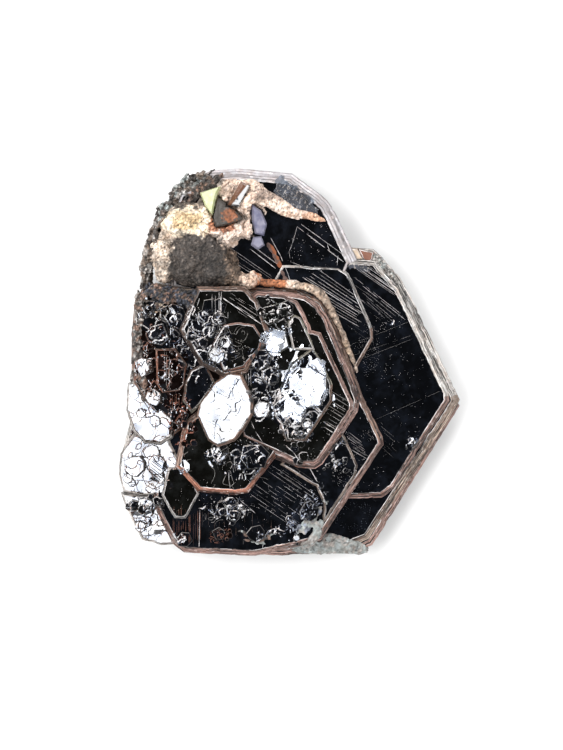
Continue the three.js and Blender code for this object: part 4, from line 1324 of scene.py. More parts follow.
class NodeTree:
    """Adds nodes to the tree of a material or a sky."""

    def __init__(self, owner: Material | bpy.types.World, shader: str) -> None:
        """Opens the tree.

        Args:
            owner: the material or the sky.
            shader: name of the node that shades it.
        """
        owner.use_nodes = True
        self.tree = owner.node_tree
        self.shader = self.tree.nodes[shader]

    def put(self, socket: Socket, value: Socket | float | tuple) -> None:
        """Links a value to an input, or sets it where it is a constant.

        Args:
            socket: the input.
            value: the value.
        """
        if isinstance(value, Socket):
            self.tree.links.new(value, socket)
        else:
            socket.default_value = value

    def node(self, kind: str, result: str | int, values: dict, **options: str) -> Socket:
        """Adds a node.

        Args:
            kind: its kind, without Blender's prefix.
            result: the output that is wanted.
            values: what its inputs get.
            options: its options, by name.

        Returns:
            That output.
        """
        node = self.tree.nodes.new("ShaderNode" + kind)
        for name, option in options.items():
            setattr(node, name, option)
        for name, value in values.items():
            self.put(node.inputs[name], value)
        return node.outputs[result]

    def feed(self, **values: Socket | float | tuple) -> None:
        """Gives values to the shader's inputs, whose names have a space where these have an underscore."""
        for name, value in values.items():
            self.put(self.shader.inputs[name.replace("_", " ")], value)


class NodeGraph(NodeTree):
    """Lays out the nodes of one material. Lengths are in millimetres."""

    MIX_COLOURS = (6, 7)  # places of the two colours among a mix node's inputs
    MIX_RESULT = 2  # place of the mixed colour among its outputs

    def __init__(self, name: str) -> None:
        """Starts a material.

        Args:
            name: its name.
        """
        self.material = bpy.data.materials.new(name)
        super().__init__(self.material, "Principled BSDF")
        self.place = self.node("TexCoord", "Object", {})

    def noise(self, size: float, detail: float = 4.0, rough: float = 0.6) -> Socket:
        """Adds a noise pattern.

        Args:
            size: size of its coarsest blotches.
            detail: how many finer levels it has.
            rough: how strong those are.

        Returns:
            Its value, from 0 to 1.
        """
        values = {"Scale": 1 / (size * MM), "Detail": detail, "Roughness": rough, "Vector": self.place}
        return self.node("TexNoise", "Fac", values)

    def spread(self, value: Socket, low: float, high: float, start: float = 0, end: float = 1) -> Socket:
        """Maps a range of values onto another one.

        Args:
            value: the value.
            low: start of its range.
            high: end of its range.
            start: what the start becomes.
            end: what the end becomes.

        Returns:
            The mapped value.
        """
        values = {"Value": value, "From Min": low, "From Max": high, "To Min": start, "To Max": end}
        return self.node("MapRange", "Result", values)

    def blotches(self, size: float, low: float, high: float) -> Socket:
        """Returns blotches that grow from 0 to 1 between two values of a noise pattern."""
        return self.spread(self.noise(size), low, high)

    def near(self, spot: Triple, reach: float, stray: float) -> Socket:
        """Adds a ragged round spot.

        Args:
            spot: its middle.
            reach: its radius.
            stray: how far its border wanders.

        Returns:
            How much of it lies on a place, from 0 to 1.
        """
        away = self.node("VectorMath", "Value", {0: self.place, 1: Vector(spot) * MM}, operation="DISTANCE")
        wander = {0: self.noise(0.5), 1: 2 * stray * MM, 2: away}
        bent_away = self.node("Math", "Value", wander, operation="MULTIPLY_ADD")
        edge = (reach + stray) * MM
        return self.spread(bent_away, edge - 0.08 * MM, edge + 0.08 * MM, 1.0, 0.0)

    def mix(self, share: Socket, first: Socket | Colour, other: Socket | Colour, how: str = "MIX") -> Socket:
        """Mixes two colours.

        Args:
            share: how much of the other one.
            first: the first colour.
            other: the other colour.
            how: how, as Blender names it.

        Returns:
            The mixed colour.
        """
        colours = [colour if isinstance(colour, Socket) else (*colour, 1.0) for colour in (first, other)]
        values = {"Factor": share, **dict(zip(self.MIX_COLOURS, colours))}
        return self.node("Mix", self.MIX_RESULT, values, data_type="RGBA", blend_type=how)

    def stained(self, factor: Socket, colour: Socket, stain: Colour) -> Socket:
        """Returns a colour multiplied by a stain where the factor is 1."""
        return self.mix(factor, colour, stain, "MULTIPLY")

    def tint(self) -> Socket:
        """Returns the facets' own colour."""
        return self.node("Attribute", "Color", {}, attribute_name="tint")

    def bump(self, height: Socket, depth: float) -> None:
        """Roughens the surface with a pattern of that depth."""
        self.feed(Normal=self.node("Bump", "Normal", {"Distance": depth * MM, "Height": height}))


class SharedFinish:
    """A finish that several pieces can wear."""

    def made(self) -> Material:
        """Returns its material, which is made the first time."""
        return bpy.data.materials.get(self.name) or self.make()


@dataclass(frozen=True)
class MirrorFinish(SharedFinish):
    """Black mirror of a hematite face, with faint clouding."""

    name: str = "hematite_mirror"  # the material's name
    polish: Point = (0.03, 0.16)  # roughness where it is clearest and where it is clouded
    cloud: float = 2.4  # size of the clouded blotches
    dust: float = 1.6  # size of the blotches of dust
    relief: float = 0.012  # depth of its gentle waves

    def make(self) -> Material:
        """Builds the material.

        Returns:
            The material.
        """
        graph = NodeGraph(self.name)
        clouds = graph.noise(self.cloud, 5.0, 0.62)
        dust = graph.noise(self.dust, 4.0, 0.7)
        graph.feed(Metallic=graph.spread(dust, 0.45, 0.8, 1.0, 0.94))
        graph.feed(Base_Color=graph.stained(graph.spread(dust, 0.4, 0.7), graph.tint(), (0.8, 0.9, 1.1)))
        graph.feed(Roughness=graph.spread(clouds, 0.35, 0.75, *self.polish))
        graph.bump(graph.noise(1.1, 2.0, 0.4), self.relief)
        return graph.material


@dataclass(frozen=True)
class GrainyFinish(SharedFinish):
    """Broken or layered hematite, half metal and half dust, or dull feldspar."""

    name: str  # the material's name
    metal: float = 0.3  # how metallic it is
    polish: Point = (0.38, 0.8)  # roughness where it is smoothest and where it is dustiest
    grain: tuple[float, float, float] = (0.16, 4.0, 0.6)  # its grain: size, finer levels and their strength
    relief: float = 0.03  # depth of that grain
    blotches: Triple = (0.8, 0.3, 0.7)  # size of the dusty blotches, and where they start and end
    dust: Colour = (0.72, 0.62, 0.56)  # what they do to the colour
    flecks: tuple[float, float, float, float] = (0.35, 0.65, 0.0, 1.0)  # where the flecks lie in the grain
    fleck: Colour = (1.25, 1.22, 1.2)  # what they do to the colour

    def make(self) -> Material:
        """Builds the material.

        Returns:
            The material.
        """
        graph = NodeGraph(self.name)
        grain = graph.noise(*self.grain)
        dusty = graph.stained(graph.blotches(*self.blotches), graph.tint(), self.dust)
        flecks = graph.spread(grain, *self.flecks)
        graph.feed(Metallic=self.metal, Base_Color=graph.stained(flecks, dusty, self.fleck))
        graph.feed(Roughness=graph.spread(grain, 0.3, 0.7, *self.polish))
        graph.bump(grain, self.relief)
        return graph.material


GRAIN_FINISH = GrainyFinish("hematite_grain", 0.4, (0.3, 0.7), (0.1, 4.0, 0.6), 0.04)
HEMATITE_FINISHES = (MirrorFinish(), GrainyFinish("hematite_edge"), GRAIN_FINISH)  # in the order of Finish
FELDSPAR_FINISH = GrainyFinish(
    "feldspar_crust", 0.0, (0.6, 0.95), (0.22, 5.0, 0.65), 0.07, blotches=(0.7, 0.35, 0.65),
    dust=(0.86, 0.76, 0.68), flecks=(0.34, 0.48, 1.0, 0.0), fleck=(0.45, 0.36, 0.3),
)


@dataclass(frozen=True)
class CrystalFinish:
    """A small crystal's surface."""

    name: str  # the material's name
    body: Colour  # its colour
    stain: Colour  # colour of its stains
    stained: float = 0.3  # share that is stained, from 0 to 1
    polish: Point = (0.15, 0.5)  # roughness where it is clearest and where it is dull
    metal: float = 0.0  # how metallic it is
    clear: float = 0.0  # how much light goes through it
    relief: float = 0.02  # depth of its unevenness
    spot: Triple | None = None  # middle of its one stain, where it has one, in place of scattered ones
    mottle: float = 1.0  # how dark the grains in a stain are, as a share of its colour
    spot_reach: float = 0.85  # radius of the one stain
    spot_stray: float = 0.9  # how far the border of the one stain wanders
    refraction: float = 1.55  # how strongly it bends light

    def make(self) -> Material:
        """Builds the material.

        Returns:
            The material.
        """
        graph = NodeGraph(self.name)
        blotch = graph.noise(0.7)
        edge = 1 - self.stained
        if self.spot:
            cover = graph.near(self.spot, self.spot_reach, self.spot_stray)
        else:
            cover = graph.spread(blotch, edge - 0.2, edge + 0.1)
        stain = graph.mix(graph.blotches(0.3, 0.4, 0.6), self.stain, shaded(self.stain, self.mottle))
        graph.feed(Base_Color=graph.mix(cover, self.body, stain))
        graph.feed(Roughness=graph.spread(blotch, 0.3, 0.7, *self.polish))
        graph.feed(Metallic=self.metal, Transmission_Weight=self.clear, IOR=self.refraction)
        graph.bump(graph.noise(0.35, 3.0, 0.55), self.relief)
        return graph.material


@dataclass(frozen=True)
class BladeFinish:
    """The small blade: brown along one side, bright and flaked along the other."""

    name: str = "hematite_blade"  # the material's name
    across: Triple = (0.787, -0.616, 0.0)  # direction across it, from the brown side to the bright one
    border: float = -17.05  # where the bright side starts along that direction
    brown: Colour = (0.16, 0.075, 0.045)  # colour of the brown side
    bright: Colour = (0.66, 0.67, 0.68)  # colour of the bright side
    flake: Colour = (0.03, 0.035, 0.04)  # colour of the dark flakes on it
    metal: float = 0.3  # how metallic it is
    relief: float = 0.03  # depth of its unevenness

    def make(self) -> Material:
        """Builds the material.

        Returns:
            The material.
        """
        graph = NodeGraph(self.name)
        side = graph.node("VectorMath", "Value", {0: graph.place, 1: self.across}, operation="DOT_PRODUCT")
        edge = self.border * MM
        beyond = graph.spread(side, edge - 0.04 * MM, edge + 0.04 * MM)
        flakes = graph.blotches(0.8, 0.52, 0.58)
        graph.feed(Base_Color=graph.mix(beyond, self.brown, graph.mix(flakes, self.bright, self.flake)))
        graph.feed(Metallic=self.metal, Roughness=graph.spread(flakes, 0.0, 1.0, 0.22, 0.5))
        graph.bump(graph.noise(0.35, 3.0, 0.55), self.relief)
        return graph.material


@dataclass(frozen=True)
class Stain(Spot):
    """A stained place on the crust."""

    colour: Colour = (0, 0, 0)  # its colour
    strength: float = 0.9  # how much it covers, from 0 to 1


def lump(
    middle: Vector, reach: Vector, heading: float, stray: random.Random
) -> tuple[list[Vector], list[tuple[int, int, int]]]:
    """Builds one rough, closed scale with twenty faces.

    Args:
        middle: its middle.
        reach: half its length, width and height.
        heading: which way it lies, in radians.
        stray: source of the random draws.

    Returns:
        Its corners and faces.
    """
    golden = (1 + math.sqrt(5)) / 2
    touching = 2.1  # corners nearer than this are neighbours
    corners = []
    for a, b in ((1, golden), (-1, golden), (1, -golden), (-1, -golden)):
        corners += [Vector((0, a, b)), Vector((a, b, 0)), Vector((b, 0, a))]
    faces = []
    for i, j, k in combinations(range(len(corners)), 3):
        a, b, c = corners[i], corners[j], corners[k]
        if max((a - b).length, (b - c).length, (c - a).length) < touching:
            faces.append((i, j, k) if (b - a).cross(c - a).dot(a + b + c) > 0 else (i, k, j))
    about_x = Matrix.Rotation(stray.uniform(-0.6, 0.6), 3, "X")
    lean = about_x @ Matrix.Rotation(stray.uniform(-0.3, 0.3), 3, "Y")
    turn = Matrix.Rotation(heading + stray.uniform(-0.4, 0.4), 3, "Z") @ lean
    sized = Vector([length * stray.uniform(0.7, 1.3) for length in reach])
    rough = [corner.normalized() * sized * stray.uniform(0.8, 1.2) for corner in corners]
    return [middle + turn @ corner for corner in rough], faces


@dataclass(frozen=True)
class Relief:
    """Unevenness of a crust."""

    swell: float  # how far the crust stands proud of the body that it grows on
    knobs: tuple[Point, ...]  # pairs of size and height, coarse first
    block: float  # size of the blocks that it is cracked into
    crack: float  # depth of the cracks

    def rise(self, place: Vector) -> float:
        """Says how far the crust stands out.

        Args:
            place: the place.

        Returns:
            The height.
        """
        height = self.swell
        for i, (size, rise) in enumerate(self.knobs):
            height += rise * noise.noise(place / size + Vector((9.1 * i, 4.7, 2.3)))
        return height

    def cracked(self, place: Vector) -> float:
        """Says how deep in a crack a place is.

        Args:
            place: the place.

        Returns:
            A share, from 0 on a block to 1 at the bottom.
        """
        bend = Vector([noise.noise(place / self.block * 0.9 + Vector((k, 0, 0))) for k in (0, 11, 23)])
        near = noise.voronoi(place / self.block + bend * 0.8)[0]
        open_here = clamped(0.35 + 1.6 * noise.noise(place / self.block * 0.5 + Vector((3, 8, 1))))
        return math.exp(-(near[1] - near[0]) / 0.1) * open_here


@dataclass(kw_only=True)
class CrustSkin:
    """Turns rough bodies into a crust: one closed skin that is uneven, cracked and tinted, with painted light on
    its high parts and painted shade in its cracks.
    """

    relief: Relief
    voxel: float = 0.12  # size of a cell of the mesh
    speck: float = 0.24  # size of the pale and dark grains
    contrast: float = 3.0  # how far their lightness strays

    def colour(self, place: Vector) -> Colour:
        """Returns the crust's colour at a place."""
        raise NotImplementedError

    def calm(self, place: Vector) -> float:
        """Returns what share of the relief the crust has at a place."""
        return 1.0

    def speckle(self, place: Vector) -> float:
        """Returns how far the lightness of grains strays at a place."""
        return self.contrast

    def rebuilt(self, mesh: Mesh, name: str) -> Mesh:
        """Rebuilds a mesh, which may be of overlapping bodies, as one closed skin of even cells.

        Args:
            mesh: the mesh.
            name: the new mesh's name.

        Returns:
            The new mesh.
        """
        rough = bpy.data.objects.new("rough", mesh)
        bpy.context.scene.collection.objects.link(rough)
        remesh = rough.modifiers.new("remesh", "REMESH")
        remesh.mode = "VOXEL"
        remesh.voxel_size = self.voxel * MM
        shaped = bpy.data.meshes.new_from_object(rough.evaluated_get(bpy.context.evaluated_depsgraph_get()))
        bpy.data.objects.remove(rough)
        shaped.name = name
        return shaped

    def finish(self, mesh: Mesh, finish: GrainyFinish, slot: str) -> Piece:
        """Shapes and tints the crust, painting its high parts lighter and its cracks darker, and makes it ride on
        the specimen.

        Args:
            mesh: the rebuilt mesh.
            finish: its finish.
            slot: the record's material slot for it; not used.

        Returns:
            The new piece.
        """
        normals = [vertex.normal.copy() for vertex in mesh.vertices]
        tint = mesh.attributes.new("tint", "FLOAT_COLOR", "POINT")
        tallest = sum(height for _, height in self.relief.knobs)
        for vertex, normal, cell in zip(mesh.vertices, normals, tint.data):
            place = vertex.co / MM
            share = self.calm(place)
            crack = self.relief.cracked(place) * share
            rise = (self.relief.rise(place) - self.relief.swell) * share
            grain = noise.noise(place / self.speck) + 0.6 * noise.noise(place / self.speck * 2.1)
            vertex.co += normal * (self.relief.swell + rise - self.relief.crack * crack) * MM
            colour = self.colour(place)
            speckle = self.speckle(place) * (1.5 - 1.1 * max(colour)) * grain * abs(grain)
            # Painted light and shade: the high parts are painted lighter and the cracks darker; the speckle is
            # the grains' own lightness.
            light = 1.0 + 1.2 * rise / tallest + speckle
            cell.color = (*shaded(colour, max(0.2, light) * (1 - 0.75 * crack)), 1.0)
        mesh.materials.clear()
        mesh.materials.append(finish.made())
        return riding(mesh)


@dataclass(kw_only=True)
class FeldsparCrust(CrustSkin):
    """The pale crust over the corner, with its two strands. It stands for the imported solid."""

    node: Piece
    relief: Relief = Relief(0.1, ((1.9, 0.3), (0.55, 0.12), (0.24, 0.14)), 1.3, 0.22)
    ground: Colour = (0.7, 0.59, 0.52)
    stains: tuple[Stain, ...] = (
        Stain((-6, 20.2), (3.2, 2.4), (0.74, 0.6, 0.51)),
        Stain((-5.2, 15.7), (2.6, 1.7), (0.82, 0.69, 0.61)),
        Stain((-12.1, 16.9), (3, 1.7), (0.8, 0.72, 0.58)),
        Stain((-12.4, 17), (1.6, 1.1), (0.7, 0.53, 0.3), 0.8),
        Stain((-15.3, 12.6), (1.6, 3.4), (0.62, 0.54, 0.46)),
        Stain((-7.8, 11.2), (2.7, 2.6), (0.075, 0.052, 0.036), 0.95),
        Stain((-11, 12.2), (3.4, 3.2), (0.04, 0.035, 0.032), 0.98),
        Stain((-12.4, 20.5), (3.4, 1.8), (0.07, 0.06, 0.05), 0.95),
        Stain((-10.6, 21.8), (2.8, 0.9), (0.12, 0.11, 0.1)),
        Stain((-7.8, 16.6), (1.5, 1), (0.32, 0.11, 0.045)),
        Stain((-2.4, 9.6), (2, 0.8), (0.36, 0.13, 0.05), 0.95),
        Stain((-4.7, 9.8), (1, 0.9), (0.56, 0.43, 0.35)),
        Stain((3.4, 17.4), (1.6, 0.7), (0.46, 0.24, 0.13), 0.7),
        Stain((0.2, 18), (1.2, 0.5), (0.4, 0.26, 0.17), 0.5),
        Stain((-2.4, 20.2), (1.9, 0.9), (0.4, 0.32, 0.28), 0.8),
        Stain((5.6, 4.2), (4.4, 5), (0.26, 0.21, 0.17), 0.95),
        Stain((1.6, 8.4), (1.6, 1.1), (0.44, 0.35, 0.28)),
        Stain((6.7, 1.2), (0.6, 1.3), (0.42, 0.33, 0.25)),
    )
    sheets: tuple[tuple[Point, ...], ...] = (
        ((-5.2, 21.4), (-3.9, 21.5), (-1.3, 19.9), (1.3, 18.1), (1.2, 17.2), (-1.1, 17.9), (-3.4, 19.3),
         (-4.6, 19.7)),
        ((-8.6, 21.3), (-7.8, 22), (-6.6, 22.1), (-5.6, 21.4), (-6.8, 20.2), (-8.2, 20.6)),
    )  # outlines of the thin sheets beside the crust
    sheet_heights: Point = (5.6, 6.7)  # lower and upper side of the sheets
    bare: tuple[Stain, ...] = (
        Stain((-5.4, 13.1), (1.9, 1.9)), Stain((-5.2, 11.2), (0.8, 0.8)), Stain((-6.8, 13), (0.9, 0.7)),
    )  # where the plate below is bare
    worn: float = 2.4  # how far the crust is sunk there
    strand: float = -3  # to the right of this the crust is a thin, calmer strand
    calmed: float = 0.35  # share of the relief on it
    flat: float = 0.3  # how far a strand is sunk into the plate's edge
    stray: float = 0.7  # how far the borders of stains wander
    square: float = 2.8  # 2 makes stains oval, more makes them squarer
    border: float = 1.12  # where a stain ends, as a share of its reach
    fade: float = 0.16  # width of its border
    shade_height: float = 4.4  # below this height the crust is painted darker: painted shade where it lies under the plates
    # colour of that painted shade
    shade_colour: Colour = (0.085, 0.07, 0.06)

    def cover(self, stain: Stain, place: Vector, stray: Vector) -> float:
        """Says how much of a stain lies on a place.

        Args:
            stain: the stain.
            place: the place.
            stray: how far the stain's border is moved there.

        Returns:
            Its share, from 0 to 1.
        """
        dx, dy = ((p + s - m) / r for p, s, m, r in zip(place, stray, stain.middle, stain.reach))
        off = (abs(dx) ** self.square + abs(dy) ** self.square) ** (1 / self.square)
        return clamped((self.border - off) / self.fade) * stain.strength

    def colour(self, place: Vector) -> Colour:
        """Mixes the crust's colour: its ground, the stains on it, and painted shade low down, under the plates.

        Args:
            place: the place.

        Returns:
            The colour there.
        """
        colour = self.ground
        strays = [noise.fractal(place / 1.2 + Vector((k, k, k)), 0.6, 2.2, 3) for k in (0, 5)]
        stray = Vector(strays) * self.stray
        for stain in self.stains:
            colour = blended(colour, stain.colour, self.cover(stain, place, stray))
        # Painted shade: darker below a height, where the crust lies under the plates.
        return blended(colour, self.shade_colour, clamped(self.shade_height - place.z))

    def calm(self, place: Vector) -> float:
        """Returns what share of the relief the crust has at a place: less on the strands."""
        return self.calmed if place.x > self.strand else 1.0

    def sunk(self, place: Vector) -> float:
        """Says how far the crust is worn away.

        Args:
            place: the place.

        Returns:
            The depth.
        """
        stray = Vector((noise.noise(place / 0.9), noise.noise(place / 0.9 + Vector((8, 8, 8))))) * 0.5
        flat = self.flat if place.x > self.strand else 0.0
        return max(flat, self.worn * max(self.cover(spot, place, stray) for spot in self.bare))

    def whole(self) -> Mesh:
        """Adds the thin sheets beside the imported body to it.

        Returns:
            The new mesh.
        """
        shape = bmesh.new()
        shape.from_mesh(self.node.data)
        for outline in self.sheets:
            corners = counter_clockwise(outline)
            foot, roof = (
                [shape.verts.new((corner.x * MM, corner.y * MM, height * MM)) for corner in corners]
                for height in self.sheet_heights
            )
            shape.faces.new(foot[::-1])
            shape.faces.new(roof)
            for i, corner in enumerate(foot):
                shape.faces.new((foot[i - 1], corner, roof[i], roof[i - 1]))
        mesh = bpy.data.meshes.new("feldspar_whole")
        bmesh.ops.recalc_face_normals(shape, faces=shape.faces)
        shape.to_mesh(mesh)
        shape.free()
        return mesh

    def build(self) -> None:
        """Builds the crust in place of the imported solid."""
        worn = self.rebuilt(self.whole(), "feldspar_worn")
        for vertex in worn.vertices:
            vertex.co.z -= self.sunk(vertex.co / MM) * MM
        mesh = self.rebuilt(worn, "feldspar_crust")
        piece = self.finish(mesh, FELDSPAR_FINISH, "feldspar")
        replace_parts(piece, "feldspar_matrix")


@dataclass(kw_only=True)
class RimCrust(CrustSkin):
    """The rough, scaly crusts of hematite along the broken rims."""

    seed: int
    ground: Ground
    relief: Relief = Relief(0.0, ((0.6, 0.1), (0.3, 0.14), (0.16, 0.1)), 0.7, 0.2)
    proud: float = 0.1  # how far the middle of a scale may stand over the plates
    smear: float = -17  # nearer than this the crust is a smoother smear
    calmed: float = 0.15  # share of the relief on it
    evened: float = 0.35  # share of the speckle on it
    ledges: float = 7  # runs above this lie on the plates, and the others also cling to their walls

    def __post_init__(self) -> None:
        """Starts the random draws and an empty list of scales."""
        self.random = random.Random(self.seed)
        self.middles: list[Vector] = []
        self.colours: list[Colour] = []

    def colour(self, place: Vector) -> Colour:
        """Returns the crust's colour at a place: that of the nearest scale."""
        return self.colours[self.nearest.find(place)[1]]

    def calm(self, place: Vector) -> float:
        """Returns what share of the relief the crust has at a place: less on the smear."""
        return self.calmed if place.y < self.smear else 1.0

    def speckle(self, place: Vector) -> float:
        """Returns how far the lightness of grains strays at a place: less on the smear."""
        return self.contrast * (self.evened if place.y < self.smear else 1.0)

    def scales(self) -> Mesh:
        """Scatters the scales of every run.

        Returns:
            All of them as one mesh.
        """
        points: list[Vector] = []
        faces: list[tuple[int, ...]] = []
        for run in CRUST_RUNS:
            path = [Vector(p) for p in run.path]
            for _ in range(run.count):
                along = self.random.uniform(0, len(path) - 1)
                start = min(int(along), len(path) - 2)
                place = path[start].lerp(path[start + 1], along - start)
                x, y = (part + self.random.uniform(-run.width, run.width) for part in place)
                z = self.random.uniform(run.low, run.high)
                below = self.ground.height(x, y)
                if below is None and run.low > self.ledges:
                    continue
                middle = Vector((x, y, z if below is None else min(z, below + self.proud)))
                heading = path[start + 1] - path[start]
                reach = Vector(run.shape) * self.random.uniform(*run.size)
                corners, sides = lump(middle, reach, math.atan2(heading.y, heading.x), self.random)
                faces += [tuple(i + len(points) for i in side) for side in sides]
                points += corners
                tone = self.random.choice(run.tones)
                self.colours.append(shaded(tone.value, self.random.uniform(0.7, 1.2)))
                self.middles.append(middle)
        self.nearest = KDTree(len(self.middles))
        for i, middle in enumerate(self.middles):
            self.nearest.insert(middle, i)
        self.nearest.balance()
        mesh = bpy.data.meshes.new("rim_lumps")
        mesh.from_pydata([point * MM for point in points], [], faces)
        return mesh

    def build(self) -> None:
        """Builds the crusts."""
        self.finish(self.rebuilt(self.scales(), "rim_crust"), GRAIN_FINISH, "hematite")


@dataclass
class HeldCrystals:
    """The small crystals that the crust holds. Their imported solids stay, with their own finishes."""

    nodes: dict[str, Piece]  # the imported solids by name
    arris: float = 0.03  # how far their arrises are worn
    # depth of the unevenness of each rough crystal's surface
    pits: tuple[tuple[str, float], ...] = (
        ("brown_crystal", 0.22), ("lilac_crystal_large", 0.08), ("lilac_crystal_small", 0.08),
        ("hematite_blade", 0.05),
    )
    pit_size: float = 0.5  # how wide that unevenness is
    cuts: int = 4  # how often the faces of a rough crystal are halved to carry it

    def dress(self) -> None:
        """Wears the arrises and puts on the finishes."""
        lilac = CrystalFinish("lilac_satin", (0.13, 0.13, 0.2), (0.22, 0.21, 0.27), 0.4, (0.25, 0.6), 0.2)
        finishes = {
            "yellow_green_crystal": CrystalFinish(
                "yellow_green_glass", (0.5, 0.54, 0.25), (0.66, 0.68, 0.44), 0.45, (0.06, 0.3), clear=0.3
            ),
            "lilac_crystal_large": lilac,
            "lilac_crystal_small": replace(lilac, name="lilac_satin_pale", body=(0.2, 0.2, 0.27)),
            "hematite_blade": BladeFinish(),
            "brown_crystal": CrystalFinish(
                "rusty_brown", (0.045, 0.038, 0.032), (0.26, 0.09, 0.035), polish=(0.35, 0.8), metal=0.1,
                relief=0.08, spot=(-7.1, 17.6, 8.8), mottle=0.4,
            ),
        }
        for name, finish in finishes.items():
            piece = self.nodes[name]
            piece.data.materials.clear()
            piece.data.materials.append(finish.make())
            bevel = piece.modifiers.new("arris", "BEVEL")
            bevel.width = self.arris * MM
            bevel.segments = 1
            log.info("%s: dressed", name)
        for name, depth in self.pits:
            self.roughen(self.nodes[name], depth)

    def roughen(self, piece: Piece, depth: float) -> None:
        """Makes a crystal's faces uneven.

        Args:
            piece: the crystal.
            depth: depth of the unevenness.
        """
        finer = piece.modifiers.new("finer", "SUBSURF")
        finer.subdivision_type = "SIMPLE"
        finer.levels = finer.render_levels = self.cuts
        pattern = bpy.data.textures.new(piece.name, "CLOUDS")
        pattern.noise_scale = self.pit_size * MM
        pattern.noise_depth = 3
        uneven = piece.modifiers.new("uneven", "DISPLACE")
        uneven.texture = pattern
        uneven.texture_coords = "LOCAL"
        uneven.strength = depth * MM


@dataclass(frozen=True)
class Softbox:
    """One soft light that looks at the specimen."""

    name: str  # what it is called
    azimuth: float  # where it stands, in degrees from +X towards +Y
    zenith: float  # its angle from straight above, in degrees
    size: Point  # its width and height, in metres
    radiance: float  # how bright its face is


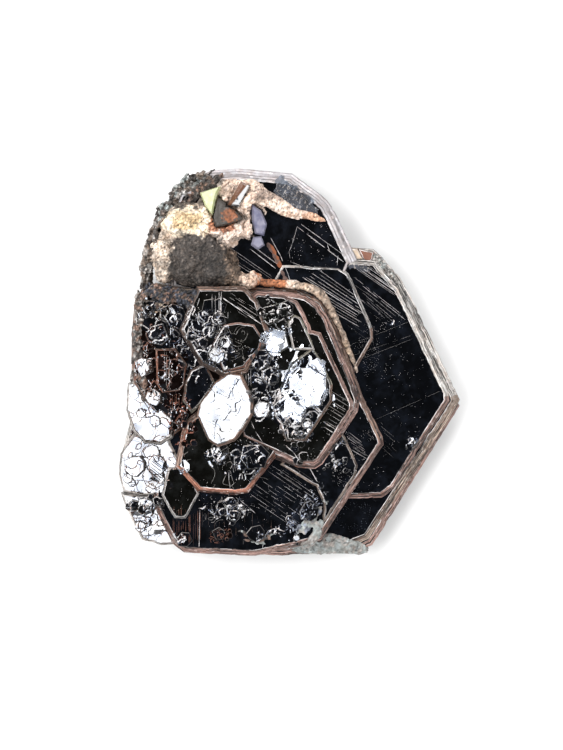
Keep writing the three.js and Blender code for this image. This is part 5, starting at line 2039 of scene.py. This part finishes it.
@dataclass
class Studio:
    """The pale floor, the soft lights and the camera."""

    softboxes: tuple[Softbox, ...] = (
        Softbox("key_left", 180, 36, (0.42, 0.4), 6),
        Softbox("fill_back", 95, 48, (0.3, 0.24), 5),
        Softbox("fill_right", 15, 50, (0.28, 0.24), 4),
        Softbox("fill_front", 300, 48, (0.26, 0.22), 4),
    )  # the lights
    distance: float = 0.5  # how far away they stand, in metres
    zenith_glow: float = 0.03  # radiance of the sky straight above
    horizon_glow: float = 0.7  # radiance of the sky lower down
    dark_cone: Point = (20.0, 35.0)  # angles from straight above between which the sky brightens, in degrees
    floor_size: float = 3.0  # side of the floor, in metres
    paper: Point = (0.8, 0.82)  # darkest and lightest grey of the floor
    dullness: float = 0.95  # roughness of the floor
    camera_place: Triple = (-0.0009, -0.0015, 0.758)  # where the camera stands, in metres
    lens: float = 300.0  # its focal length, in millimetres

    def stand(self, name: str, data: bpy.types.ID) -> bpy.types.Object:
        """Puts a light, a camera or a mesh into the scene.

        Args:
            name: what it is called.
            data: the light, camera or mesh.

        Returns:
            Its object.
        """
        item = bpy.data.objects.new(name, data)
        bpy.context.scene.collection.objects.link(item)
        return item

    def light(self, box: Softbox) -> None:
        """Adds one soft light.

        Args:
            box: the light.
        """
        data = bpy.data.lights.new(box.name, "AREA")
        data.shape = "RECTANGLE"
        data.size, data.size_y = box.size
        data.energy = box.radiance * math.pi * box.size[0] * box.size[1]
        lamp = self.stand(box.name, data)
        lamp.visible_camera = False
        azimuth, zenith = math.radians(box.azimuth), math.radians(box.zenith)
        level = math.sin(zenith)
        away = Vector((level * math.cos(azimuth), level * math.sin(azimuth), math.cos(zenith)))
        lamp.location = away * self.distance
        lamp.rotation_euler = away.to_track_quat("Z", "Y").to_euler()

    def sky(self) -> None:
        """Adds the sky: dim straight above, pale lower down."""
        world = bpy.data.worlds.new("studio")
        bpy.context.scene.world = world
        tree = NodeTree(world, "Background")
        height = tree.node("SeparateXYZ", "Z", {"Vector": tree.node("TexCoord", "Generated", {})})
        inner, outer = (math.cos(math.radians(angle)) for angle in self.dark_cone)
        values = {"Value": height, "From Min": outer, "From Max": inner, "To Min": self.horizon_glow,
                  "To Max": self.zenith_glow}
        glow = tree.node("MapRange", "Result", values, interpolation_type="SMOOTHSTEP")
        tree.feed(Color=(1.0, 1.0, 1.0, 1.0), Strength=glow)

    def floor(self) -> None:
        """Adds the pale floor."""
        half = self.floor_size / 2
        mesh = bpy.data.meshes.new("floor")
        corners = [(-half, -half, 0), (half, -half, 0), (half, half, 0), (-half, half, 0)]
        mesh.from_pydata(corners, [], [(0, 1, 2, 3)])
        graph = NodeGraph("pale_paper")
        shade = graph.spread(graph.noise(3.0, 3.0, 0.55), 0.3, 0.7)
        graph.feed(Base_Color=graph.mix(shade, *((grey, grey, grey) for grey in self.paper)))
        graph.feed(Roughness=self.dullness)
        mesh.materials.append(graph.material)
        self.stand("floor", mesh)

    def camera(self) -> None:
        """Adds the camera, looking straight down."""
        data = bpy.data.cameras.new("camera")
        data.lens = self.lens
        data.sensor_width = 36.0
        data.clip_start = 0.01
        view = self.stand("camera", data)
        view.location = self.camera_place
        bpy.context.scene.camera = view

    def build(self) -> None:
        """Builds the whole studio."""
        bpy.context.scene.view_settings.view_transform = "Standard"
        for box in self.softboxes:
            self.light(box)
        self.sky()
        self.floor()
        self.camera()
        log.info("studio: %d softboxes", len(self.softboxes))


@dataclass
class HematiteRose:
    """The hematite: its stack of plates and everything that grew late on them."""

    growth_seed: int = 7  # seed of the small plates
    fine_seed: int = 19  # seed of the lines, specks and crusts

    def build(self) -> None:
        """Builds the pieces of hematite and dresses them."""
        stack = Skin()
        for plate in PLATES:
            PlateMaker(plate, stack).make()
        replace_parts(stack.build("plate_stack"), "hematite_plates")
        late = LateGrowths(stack, self.growth_seed).build()
        late.build("late_plates")
        ground = Ground(stack, late)
        veils = []
        groups = {"crown_veils": CROWN_VEILS, "bed_veils": BED_VEILS, "petal_veils": PETAL_VEILS}
        for name, group in groups.items():
            skin = Skin()
            for i, veil in enumerate(group):
                VeilMaker(veil, ground, skin, 5.7 * i + veil.middle[0]).drape()
            skin.build(name)
            veils.append(skin)
        lines = FineGrowths(Ground(stack, late, *veils), self.fine_seed).build()
        lines.build("growth_lines")
        RimCrust(seed=self.fine_seed, ground=Ground(stack)).build()


def main() -> None:
    logging.basicConfig(level=logging.INFO, format="%(name)s: %(message)s")
    Studio().build()
    HematiteRose().build()
    FeldsparCrust(node=frame["nodes"]["feldspar_matrix"]).build()
    HeldCrystals(frame["nodes"]).dress()


if __name__ == "__main__":
    main()
